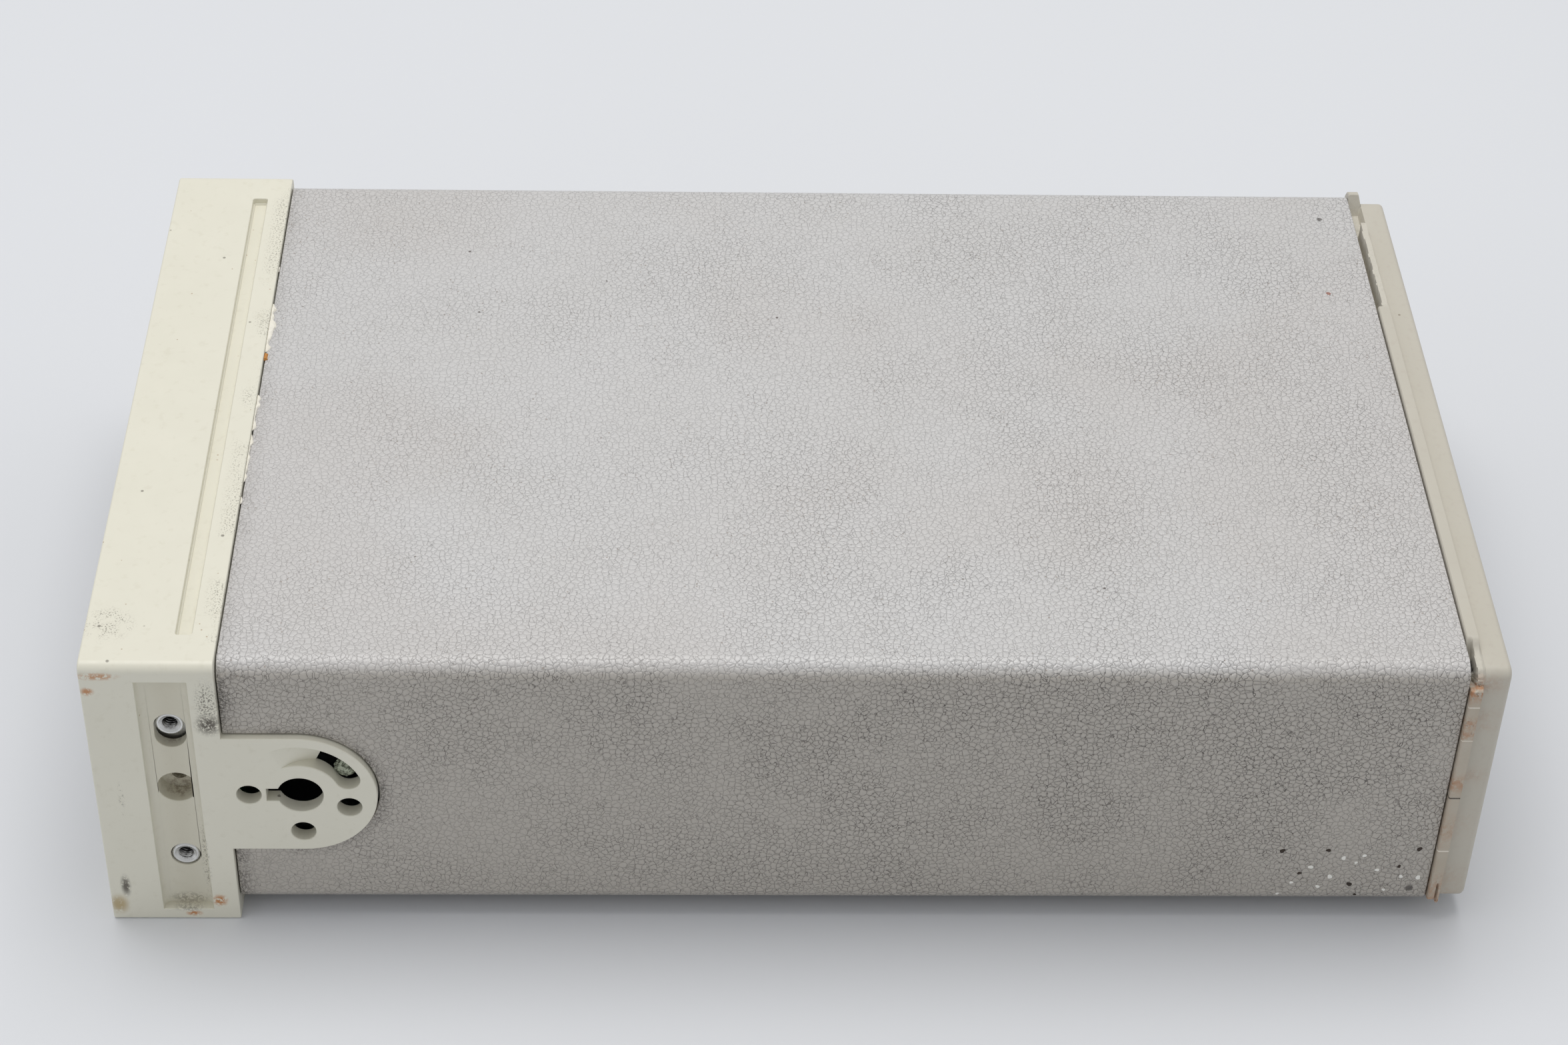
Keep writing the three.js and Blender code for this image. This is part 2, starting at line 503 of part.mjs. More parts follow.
function jackBoard() {
  const { halfWidth, z0, z1, y, thickness } = JACK_BOARD;
  const board = block(-halfWidth, halfWidth, y, y + thickness, z0, z1);
  const extras = [];
  const screwHoles = [];
  for (const side of [1, -1]) {
    extras.push(block(side * HEADER.x - HEADER.width / 2, side * HEADER.x + HEADER.width / 2,
      y + thickness / 2, y + thickness + HEADER.depth,
      HEADER.z - HEADER.height / 2, HEADER.z + HEADER.height / 2));
    for (const z of PANEL_SCREW.z) {
      extras.push(rodAlongY(STANDOFF_RADIUS, side * PANEL_SCREW.x, panelBack + GAP, y + thickness / 2, z));
      screwHoles.push(rodAlongY(PANEL_SCREW.shankRadius + GAP, side * PANEL_SCREW.x, panelBack,
        PANEL_SCREW.end + OVERCUT, z, SCREW_CIRCLE));
    }
  }
  return cut(joined(board, ...extras), ...screwHoles);
}

function connectorBoard() {
  const { halfWidth, z0, z1, y, thickness } = REAR_BOARD;
  const board = block(-halfWidth, halfWidth, y, y + thickness, z0, z1);
  const headers = [1, -1].map((side) => block(side * HEADER.x - HEADER.width / 2,
    side * HEADER.x + HEADER.width / 2, y - HEADER.depth, y + thickness / 2,
    HEADER.z - HEADER.height / 2, HEADER.z + HEADER.height / 2));
  return joined(board, ...headers);
}

// A flat ribbon that dips to the tray between the two boards' headers, drawn as a band of even height.
function ribbonCable(side) {
  const start = JACK_BOARD.y + JACK_BOARD.thickness + HEADER.depth + GAP;
  const end = REAR_BOARD.y - HEADER.depth - GAP;
  const shape = new THREE.Shape();
  shape.moveTo(start, HEADER.z);
  const { bend, sagZ, thickness } = RIBBON;
  shape.bezierCurveTo(start + bend, sagZ, end - bend, sagZ, end, HEADER.z);
  shape.lineTo(end, HEADER.z + thickness);
  shape.bezierCurveTo(end - bend, sagZ + thickness, start + bend, sagZ + thickness,
    start, HEADER.z + thickness);
  shape.closePath();
  return sheetAlongX(shape, side * HEADER.x - RIBBON.width / 2, side * HEADER.x + RIBBON.width / 2, 16);
}

// The D-shaped shell outline of a 25-way connector, wider at the top.
function dShellOutline(z, grow) {
  const top = D_SUB.shellTop + grow;
  const bottom = D_SUB.shellBottom + grow;
  const half = D_SUB.shellHalfHeight + grow;
  const shape = new THREE.Shape();
  shape.moveTo(-bottom, z - half);
  shape.lineTo(bottom, z - half);
  shape.lineTo(top, z + half);
  shape.lineTo(-top, z + half);
  shape.closePath();
  return shape;
}

function dSubConnector(z) {
  const flangeFront = REAR_PANEL.y1 + GAP;
  const flangeMiddle = flangeFront + D_SUB.flangeThickness / 2;
  const flange = plateAlongY(roundedRect(-D_SUB.flangeHalfWidth, D_SUB.flangeHalfWidth,
    z - D_SUB.flangeHalfHeight, z + D_SUB.flangeHalfHeight, D_SUB.flangeRadius),
  flangeFront, flangeFront + D_SUB.flangeThickness, 3);
  const shell = plateAlongY(dShellOutline(z, 0), flangeMiddle, D_SUB.shellEnd, 1);
  const rear = plateAlongY(dShellOutline(z, D_SUB.rearGrow), REAR_BOARD.y + REAR_BOARD.thickness + GAP,
    flangeMiddle, 1);
  const posts = [1, -1].map((side) => cut(
    rodAlongY(D_SUB.postRadius, side * D_SUB.postX, flangeMiddle, D_SUB.shellEnd - OVERCUT, z, 6),
    rodAlongY(D_SUB.postBore, side * D_SUB.postX, flangeMiddle + OVERCUT, D_SUB.shellEnd, z, SCREW_CIRCLE)));
  return joined(flange, shell, rear, ...posts);
}

function rearPanel() {
  const { halfWidth, z0, z1, y0, y1 } = REAR_PANEL;
  const plate = block(-halfWidth, halfWidth, y0, y1, z0, z1);
  const cutOuts = D_SUB.z.map((z) => plateAlongY(dShellOutline(z, D_SUB.rearGrow + GAP),
    y0 - OVERCUT, y1 + OVERCUT, 1));
  return cut(plate, ...cutOuts, rodAlongY(GROUND.radius + GAP, 0, y0 - OVERCUT, y1 + OVERCUT, GROUND.z));
}

function groundPost() {
  const headEnd = REAR_PANEL.y0 - GAP;
  const head = rodAlongY(GROUND.headRadius, 0, headEnd - GROUND.headHeight, headEnd, GROUND.z, 6);
  const post = rodAlongY(GROUND.radius, 0, headEnd - GROUND.headHeight / 2, DEPTH - GROUND.tipClearance,
    GROUND.z);
  return joined(head, post);
}

function groundNut() {
  const front = REAR_PANEL.y1 + GAP;
  const back = front + GROUND.nutHeight;
  return cut(rodAlongY(hexRadius(GROUND.nutFlat), 0, front, back, GROUND.z, 6),
    rodAlongY(GROUND.radius + GAP, 0, front - OVERCUT, back + OVERCUT, GROUND.z));
}

// ---------------------------------------------------------------- assembly

const finishes = {
  framePlastic: { color: 0xe0ddce, roughness: 0.5, metalness: 0 },
  sleeveVinyl: { color: 0xb5b1ac, roughness: 0.55, metalness: 0 },
  bezelPlastic: { color: 0xc6c1b4, roughness: 0.5, metalness: 0 },
  darkPanel: { color: 0x35363a, roughness: 0.55, metalness: 0.2 },
  platedSteel: { color: 0xb9bbbd, roughness: 0.35, metalness: 1 },
  aluminium: { color: 0xb4b6b8, roughness: 0.45, metalness: 1 },
  blackPlastic: { color: 0x17181a, roughness: 0.5, metalness: 0 },
  jackBody: { color: 0x1d1e21, roughness: 0.45, metalness: 0 },
  switchCap: { color: 0xe8e6df, roughness: 0.45, metalness: 0 },
  boardGreen: { color: 0x2c5a3c, roughness: 0.5, metalness: 0 },
  ribbonGrey: { color: 0x8d9095, roughness: 0.6, metalness: 0 },
  rubber: { color: 0x202022, roughness: 0.9, metalness: 0 },
};

const patchBay = new THREE.Group();
patchBay.position.y = -DEPTH / 2;

function place(name, solid, finish) {
  const mesh = new THREE.Mesh(geometryFrom(solid), new THREE.MeshStandardMaterial(finishes[finish]));
  mesh.name = name;
  patchBay.add(mesh);
}

place('front_frame', frontFrame(), 'framePlastic');
place('case_sleeve', caseSleeve(), 'sleeveVinyl');
place('rear_bezel', rearBezel(), 'bezelPlastic');
place('front_panel', frontPanel(), 'darkPanel');
place('rear_panel', rearPanel(), 'darkPanel');
place('chassis_tray', chassisTray(), 'aluminium');

for (const [word, side] of [['right', 1], ['left', -1]]) {
  place(`${word}_side_rail`, sideRail(side), 'platedSteel');
  place(`${word}_upper_insert`, threadedInsert(side, UPPER_INSERT_Z, 0.7), 'platedSteel');
  place(`${word}_lower_insert`, threadedInsert(side, LOWER_INSERT_Z, 0.2), 'platedSteel');
  place(`${word}_ribbon_cable`, ribbonCable(side), 'ribbonGrey');
  place(`${word}_bezel_screw`, bezelScrew(side), 'platedSteel');
  place(`${word}_rear_foot`, rubberFoot(side), 'rubber');
  place(`${word}_lower_panel_screw`, panelScrew(side, PANEL_SCREW.z[0]), 'platedSteel');
  place(`${word}_upper_panel_screw`, panelScrew(side, PANEL_SCREW.z[1]), 'platedSteel');
}

place('jack_board', jackBoard(), 'boardGreen');
place('connector_board', connectorBoard(), 'boardGreen');
place('lower_multiway_connector', dSubConnector(D_SUB.z[0]), 'platedSteel');
place('upper_multiway_connector', dSubConnector(D_SUB.z[1]), 'platedSteel');
place('ground_post', groundPost(), 'platedSteel');
place('ground_nut', groundNut(), 'platedSteel');

for (let column = 0; column < COLUMNS; column += 1) {
  const x = columnX(column);
  place(`upper_jack_${column + 1}`, jack(x, UPPER_ROW_Z), 'jackBody');
  place(`lower_jack_${column + 1}`, jack(x, LOWER_ROW_Z), 'jackBody');
  place(`mode_switch_${column + 1}`, modeSwitch(x), 'blackPlastic');
  place(`mode_slider_${column + 1}`, modeSlider(x), 'switchCap');
}

export default patchBay;
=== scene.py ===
# %% [markdown]
# # A patch bay in its bench case
# The real object is a half-rack bench case: a cream moulded front frame with a handle lug on each side,
# a grained sleeve slid on from behind, and a moulded rear bezel whose lip has lost pieces. The front
# carries two rows of quarter-inch jacks with a mode switch in each column. The engineering model is
# loaded first, because every piece takes its place and its size from it.

# %% Load the frame
import math

import bmesh
import bpy
import numpy as np
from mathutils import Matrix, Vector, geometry


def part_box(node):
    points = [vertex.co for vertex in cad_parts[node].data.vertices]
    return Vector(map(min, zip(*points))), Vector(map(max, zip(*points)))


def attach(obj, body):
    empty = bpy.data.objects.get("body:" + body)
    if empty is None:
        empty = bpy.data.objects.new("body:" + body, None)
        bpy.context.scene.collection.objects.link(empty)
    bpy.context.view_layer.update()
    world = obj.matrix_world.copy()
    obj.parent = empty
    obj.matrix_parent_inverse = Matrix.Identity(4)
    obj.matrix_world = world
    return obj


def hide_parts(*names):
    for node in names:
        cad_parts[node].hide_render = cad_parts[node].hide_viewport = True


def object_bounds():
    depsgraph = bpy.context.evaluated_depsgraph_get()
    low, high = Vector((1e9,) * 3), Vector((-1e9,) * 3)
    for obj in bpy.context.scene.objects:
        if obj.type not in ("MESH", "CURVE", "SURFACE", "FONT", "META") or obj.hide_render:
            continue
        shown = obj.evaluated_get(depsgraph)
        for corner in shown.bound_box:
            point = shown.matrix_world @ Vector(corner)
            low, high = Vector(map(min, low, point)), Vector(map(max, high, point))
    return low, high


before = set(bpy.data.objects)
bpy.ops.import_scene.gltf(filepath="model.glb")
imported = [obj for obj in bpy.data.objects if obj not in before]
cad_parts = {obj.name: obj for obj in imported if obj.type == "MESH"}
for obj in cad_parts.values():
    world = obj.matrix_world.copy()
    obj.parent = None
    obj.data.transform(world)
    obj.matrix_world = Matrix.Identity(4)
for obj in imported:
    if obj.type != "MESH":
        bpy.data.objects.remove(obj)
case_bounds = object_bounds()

MM = 0.001
scene = bpy.context.scene

# %% [markdown]
# ## The camera, the floor and the light
# The case is seen from its right-hand side and from above, through a longish lens, so its edges hardly
# converge. A pale floor with no horizon keeps attention on the object. The light is a wide soft panel
# above and behind the case, which leaves the near side in soft shade, and an even grey surround that
# fills the shadows.

# %% Camera
camera_data = bpy.data.cameras.new("camera")
camera_data.sensor_width = 36.0
camera_data.lens = 75.8
camera_data.clip_start = 0.01
camera = bpy.data.objects.new("camera", camera_data)
camera.location = (0.7021, -0.0301, 0.6355)
camera.rotation_euler = [math.radians(a) for a in (50.02, -1.40, 88.82)]
scene.collection.objects.link(camera)
scene.camera = camera
scene.view_settings.view_transform = "Standard"

# %% Lights
def soft_panel(name, place, aim, width, height, watts, tint=(1.0, 1.0, 1.0)):
    """A rectangular lamp at place, facing the point aim."""
    data = bpy.data.lights.new(name, "AREA")
    data.shape = "RECTANGLE"
    data.size, data.size_y = width, height
    data.energy = watts
    data.color = tint
    lamp = bpy.data.objects.new(name, data)
    direction = np.array(aim) - np.array(place)
    flat = math.hypot(direction[0], direction[1])
    lamp.location = place
    lamp.rotation_euler = (math.atan2(flat, -direction[2]), 0.0, math.atan2(-direction[0], direction[1]))
    scene.collection.objects.link(lamp)
    return lamp


soft_panel("overhead_panel", (-0.30, -0.10, 1.9), (0.0, 0.0, 0.0), 1.5, 1.1, 21.0, (1.0, 0.99, 0.97))
soft_panel("side_fill", (1.3, -1.5, 1.5), (0.1, 0.0, 0.05), 0.7, 0.5, 0.9)

world = bpy.data.worlds.new("studio_air")
world.use_nodes = True
world.node_tree.nodes["Background"].inputs["Color"].default_value = (0.975, 0.985, 1.0, 1.0)
world.node_tree.nodes["Background"].inputs["Strength"].default_value = 0.52
scene.world = world

# %% [markdown]
# ## Short words for making surfaces
# Each piece is worked out as whole arrays of points. A `Shell` gathers patches: a `grid` is a sheet of
# rows and columns whose neighbours become four-sided faces, and a `fill` is a flat region inside one
# loop and outside others. The patches share their edge points, so welding them gives one closed body.

# %% Shell: patches welded into a closed body
class Shell:
    """Gathers patches of points in millimetres and welds them into one closed mesh in metres."""

    def __init__(self):
        self.points, self.faces, self.count = [], [], 0

    def keep(self, points, faces):
        """Adds one patch, with its face numbers moved past the points already held."""
        self.points.append(np.asarray(points, float).reshape(-1, 3))
        self.faces += [tuple(int(i) + self.count for i in face) for face in faces]
        self.count += len(self.points[-1])

    def grid(self, sheet, wrap=False, skip=None):
        """sheet is rows x columns x 3. Neighbouring points make faces; wrap joins the last column to the
        first. skip marks the cells to leave open, as rows-1 x columns(-1) of booleans."""
        rows, columns = sheet.shape[:2]
        index = np.arange(rows * columns).reshape(rows, columns)
        if wrap:
            index = np.concatenate([index, index[:, :1]], axis=1)
        cells = np.stack([index[:-1, :-1], index[:-1, 1:], index[1:, 1:], index[1:, :-1]], axis=-1)
        if skip is not None:
            cells = cells[~skip]
        self.keep(sheet, cells.reshape(-1, 4))

    def fill(self, *loops):
        """Triangulates the flat region inside the first loop and outside the others."""
        flat = [[tuple(p) for p in loop] for loop in loops]
        self.keep(np.concatenate([np.asarray(loop, float) for loop in loops]),
                  geometry.tessellate_polygon(flat))

    def piece(self, name, materials, slot, body="case", replaces=(), smooth=35.0, origin=(0.0, 0.0, 0.0)):
        """Welds the patches, turns every face outwards and hands back the finished object."""
        mesh = bpy.data.meshes.new(name)
        points = (np.concatenate(self.points) + np.array(origin)) * MM
        mesh.from_pydata(points.tolist(), [], self.faces)
        work = bmesh.new()
        work.from_mesh(mesh)
        bmesh.ops.remove_doubles(work, verts=work.verts, dist=2e-6)
        bmesh.ops.dissolve_degenerate(work, edges=work.edges, dist=1e-6)
        bmesh.ops.recalc_face_normals(work, faces=work.faces)
        open_edges = sum(1 for edge in work.edges if not edge.is_manifold)
        work.to_mesh(mesh)
        work.free()
        return finish_piece(mesh, name, materials, body, replaces, smooth, open_edges)


def finish_piece(mesh, name, materials, body, replaces, smooth, open_edges=0):
    """Gives a mesh its smooth shading and material, and ties the piece to its body and its nodes."""
    mesh.polygons.foreach_set("use_smooth", np.ones(len(mesh.polygons), bool))
    mesh.set_sharp_from_angle(angle=math.radians(smooth))
    for material in materials if isinstance(materials, (list, tuple)) else [materials]:
        mesh.materials.append(material)
    piece = bpy.data.objects.new(name, mesh)
    scene.collection.objects.link(piece)
    weight = piece.modifiers.new("even_normals", "WEIGHTED_NORMAL")
    weight.keep_sharp = True
    weight.weight = 70
    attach(piece, body)
    if replaces:
        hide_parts(*([replaces] if isinstance(replaces, str) else replaces))
    if open_edges:
        print(name, "has", open_edges, "open or doubled edges")
    return piece


# %% Curves used again and again
def arc(start, end, steps):
    """Angles in radians from start to end in degrees."""
    return np.radians(np.linspace(start, end, steps + 1))


def rounded_loop(a0, a1, b0, b1, low, high, steps=8, inset=0.0, stops=()):
    """A rectangle with round corners, anticlockwise from the low right corner, moved inwards by inset.
    low and high are the corner radii; stops are extra places up both straight sides."""
    corners = ((a1, b0, 1, -1, low, -90), (a1, b1, 1, 1, high, 0), (a0, b1, -1, 1, high, 90),
               (a0, b0, -1, -1, low, 180))
    runs = []
    for k, (a, b, sa, sb, radius, start) in enumerate(corners):
        turn = arc(start, start + 90, steps)
        centre = np.array([a - sa * radius, b - sb * radius])
        runs.append(centre + (radius - inset) * np.stack([np.cos(turn), np.sin(turn)], -1))
        if stops and k == 0:
            runs.append(np.array([[a1 - inset, s] for s in stops]))
        if stops and k == 2:
            runs.append(np.array([[a0 + inset, s] for s in reversed(stops)]))
    return np.concatenate(runs)


def at_y(loop, y):
    """A loop of X and Z places set at depth y."""
    return np.stack([loop[:, 0], np.full(len(loop), y), loop[:, 1]], -1)


def at_x(loop, x):
    """A loop of Y and Z places set at x."""
    return np.stack([np.full(len(loop), x), loop[:, 0], loop[:, 1]], -1)


def rounding(radius, steps=4):
    """Depth and outward shift of a quarter-round edge, from the face down to the wall."""
    turn = arc(0, 90, steps)
    return [(radius * (1 - math.cos(t)), radius * (1 - math.sin(t))) for t in turn]


def circle(centre, radius, steps=48, start=0.0):
    """Points on a circle about a centre in its plane."""
    turn = np.radians(start) + np.arange(steps) * 2 * np.pi / steps
    return np.asarray(centre) + radius * np.stack([np.cos(turn), np.sin(turn)], -1)


# %% [markdown]
# ## Short words for making materials
# A finish is a node tree that reads Object coordinates, in metres, so it stays on the part when the part
# moves. The helper class keeps each recipe short: noise, cells, ramps and masks are one call each.

# %% Finish: a material in a few lines
def srgb(red, green, blue):
    """A screen colour, 0 to 255, as the linear colour that shaders use."""
    return tuple((c / 255 / 12.92) if c <= 10 else ((c / 255 + 0.055) / 1.055) ** 2.4
                 for c in (red, green, blue)) + (1.0,)


class Finish:
    """A Principled material whose colour, roughness and height are built from small procedural parts."""

    def __init__(self, name, roughness=0.5, metallic=0.0, specular=0.5, coat=0.0):
        self.material = bpy.data.materials.new(name)
        self.material.use_nodes = True
        self.tree = self.material.node_tree
        self.shader = self.tree.nodes["Principled BSDF"]
        self.shader.inputs["Roughness"].default_value = roughness
        self.shader.inputs["Metallic"].default_value = metallic
        self.shader.inputs["Specular IOR Level"].default_value = specular
        self.shader.inputs["Coat Weight"].default_value = coat
        self.shader.inputs["Coat Roughness"].default_value = 0.24
        self.place = self.node("ShaderNodeTexCoord").outputs["Object"]
        self.axes = None
        self.height = None

    def node(self, kind, links=(), **settings):
        """A new node; links sets each named input to a value, or joins it to another node's socket."""
        made = self.tree.nodes.new(kind)
        for key, value in settings.items():
            setattr(made, key, value)
        for socket, value in dict(links).items():
            if isinstance(value, bpy.types.NodeSocket):
                self.tree.links.new(value, made.inputs[socket])
            else:
                made.inputs[socket].default_value = value
        return made

    def axis(self, letter):
        """One of the X, Y and Z coordinates, in metres."""
        if self.axes is None:
            self.axes = self.node("ShaderNodeSeparateXYZ", {0: self.place})
        return self.axes.outputs[letter]

    def math(self, operation, a, b=0.0, clamp=False):
        """One sum on two numbers or sockets."""
        return self.node("ShaderNodeMath", {0: a, 1: b}, operation=operation, use_clamp=clamp).outputs[0]

    def stretched(self, x, y, z):
        """The coordinates scaled along each axis, for grain that runs one way."""
        return self.node("ShaderNodeMapping", {"Vector": self.place, "Scale": (x, y, z)}).outputs[0]

    def noise(self, per_metre, detail=3.0, rough=0.55, place=None):
        """Smooth noise between 0 and 1 with so many features per metre."""
        links = {"Vector": place or self.place, "Scale": per_metre, "Detail": detail, "Roughness": rough}
        return self.node("ShaderNodeTexNoise", links).outputs["Fac"]

    def cells(self, per_metre, feature="F1", place=None):
        """Distance in a pattern of cells, to a cell's middle or to its edge."""
        made = self.node("ShaderNodeTexVoronoi", {"Vector": place or self.place, "Scale": per_metre},
                         feature=feature)
        return made.outputs["Distance"]

    def step(self, value, low, high, out_low=0.0, out_high=1.0):
        """Eases from out_low to out_high as value goes from low to high."""
        made = self.node("ShaderNodeMapRange", {"Value": value, "From Min": low, "From Max": high,
                                                "To Min": out_low, "To Max": out_high},
                         interpolation_type="SMOOTHSTEP")
        return made.outputs[0]

    def dots(self, per_metre, size, share, shift=0.0):
        """Round specks of one size, as a share of the cell they sit in; share is how many cells have
        one."""
        moved = self.node("ShaderNodeVectorMath", {0: self.place, 1: (shift, shift, shift)},
                          operation="ADD").outputs[0]
        cell = self.node("ShaderNodeTexVoronoi", {"Vector": moved, "Scale": per_metre})
        chance = self.node("ShaderNodeSeparateColor", {0: cell.outputs["Color"]}).outputs[0]
        return self.product(self.step(cell.outputs["Distance"], 0.6 * size, size, 1, 0),
                            self.step(chance, share, share + 0.01, 1, 0))

    def near(self, value, where, reach):
        """1 at the place where, falling to 0 at reach away from it."""
        return self.step(self.math("ABSOLUTE", self.math("SUBTRACT", value, where)), 0.0, reach, 1.0, 0.0)

    def product(self, *values):
        """All the values multiplied, so a mask is 1 only where every part of it is 1."""
        total = values[0]
        for value in values[1:]:
            total = self.math("MULTIPLY", total, value)
        return total

    def mix(self, amount, low, high):
        """The colour low where amount is 0, high where it is 1, and a blend between."""
        made = self.node("ShaderNodeMix", {"Factor": amount}, data_type="RGBA")
        for name, value in (("A", low), ("B", high)):
            socket = next(s for s in made.inputs if s.name == name and s.type == "RGBA")
            if isinstance(value, bpy.types.NodeSocket):
                self.tree.links.new(value, socket)
            else:
                socket.default_value = value
        return next(s for s in made.outputs if s.type == "RGBA")

    def bump(self, height, metres, strength=1.0):
        """Adds a relief of that many metres for a height of 1."""
        links = {"Height": height, "Distance": metres, "Strength": strength}
        if self.height is not None:
            links["Normal"] = self.height
        self.height = self.node("ShaderNodeBump", links).outputs[0]

    def done(self, colour, roughness=None):
        """Joins the colour, the roughness and the relief to the shader and hands back the material."""
        self.tree.links.new(colour, self.shader.inputs["Base Color"])
        if roughness is not None:
            self.tree.links.new(roughness, self.shader.inputs["Roughness"])
        if self.height is not None:
            self.tree.links.new(self.height, self.shader.inputs["Normal"])
            self.tree.links.new(self.height, self.shader.inputs["Coat Normal"])
        return self.material

# %% [markdown]
# ## Lengths that pieces share
# All lengths are millimetres. X and Z are the model's own axes, and Y counts back from the front face.
# The model's own boxes give the sizes of the parts, so a new piece always fits the place of the part it
# stands for.

# %% Shared lengths
def node_box(name):
    """Low and high corners of a part of the engineering model, in millimetres, with Y from the front
    face."""
    low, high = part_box(name)
    shift = np.array([0.0, DEPTH / 2, 0.0])
    return np.array(low) / MM + shift, np.array(high) / MM + shift


def middle_z(name):
    """Height of the middle of a part's box, in millimetres."""
    low, high = node_box(name)
    return 0.5 * (low[2] + high[2])


WIDTH, DEPTH, HEIGHT = [(case_bounds[1][k] - case_bounds[0][k]) / MM for k in range(3)]
HALF = WIDTH / 2
FRONT = (0.0, -DEPTH / 2, 0.0)
SIDES = (("right", 1), ("left", -1))

LUG_Y, LUG_Z, LUG_R, LUG_THICK = 51.4, 45.25, 19.4, 4.0
LUG_LOW, LUG_HIGH = LUG_Z - LUG_R, LUG_Z + LUG_R
FRAME_BACK = 33.0
FRAME_TOP_R, FRAME_LOW_R = 2.7, 0.8
CORNER_STEPS = 8
EDGE = 0.35
INSERT_Y, COUNTER_Z = 20.2, 45.3
UPPER_INSERT_Z, LOWER_INSERT_Z = 66.5, 21.1
PANEL_Y = node_box("front_panel")[0][1]
COLUMNS = [0.5 * (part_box(f"upper_jack_{k}")[0][0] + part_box(f"upper_jack_{k}")[1][0]) / MM
           for k in range(1, 9)]
print("case:", round(WIDTH, 1), "x", round(DEPTH, 1), "x", round(HEIGHT, 1), "mm; columns at",
      np.round(COLUMNS, 1))


def hashed(*values):
    """Repeatable noise between 0 and 1 from numbers, the same on every run."""
    mixed = sum(np.asarray(v, float) * k for v, k in zip(values, (12.9898, 78.233, 37.719)))
    return np.mod(np.sin(mixed) * 43758.5453, 1.0)


def ragged(values, pitch, seed):
    """Smooth noise between 0 and 1 along a line of places, with one random height every pitch."""
    place = np.asarray(values, float) / pitch
    whole = np.floor(place)
    part = place - whole
    part = part * part * (3 - 2 * part)
    return hashed(whole, seed) * (1 - part) + hashed(whole + 1, seed) * part


def ease(values, low, high):
    """0 below low, 1 above high, and a smooth S between."""
    t = np.clip((np.asarray(values, float) - low) / (high - low), 0, 1)
    return t * t * (3 - 2 * t)
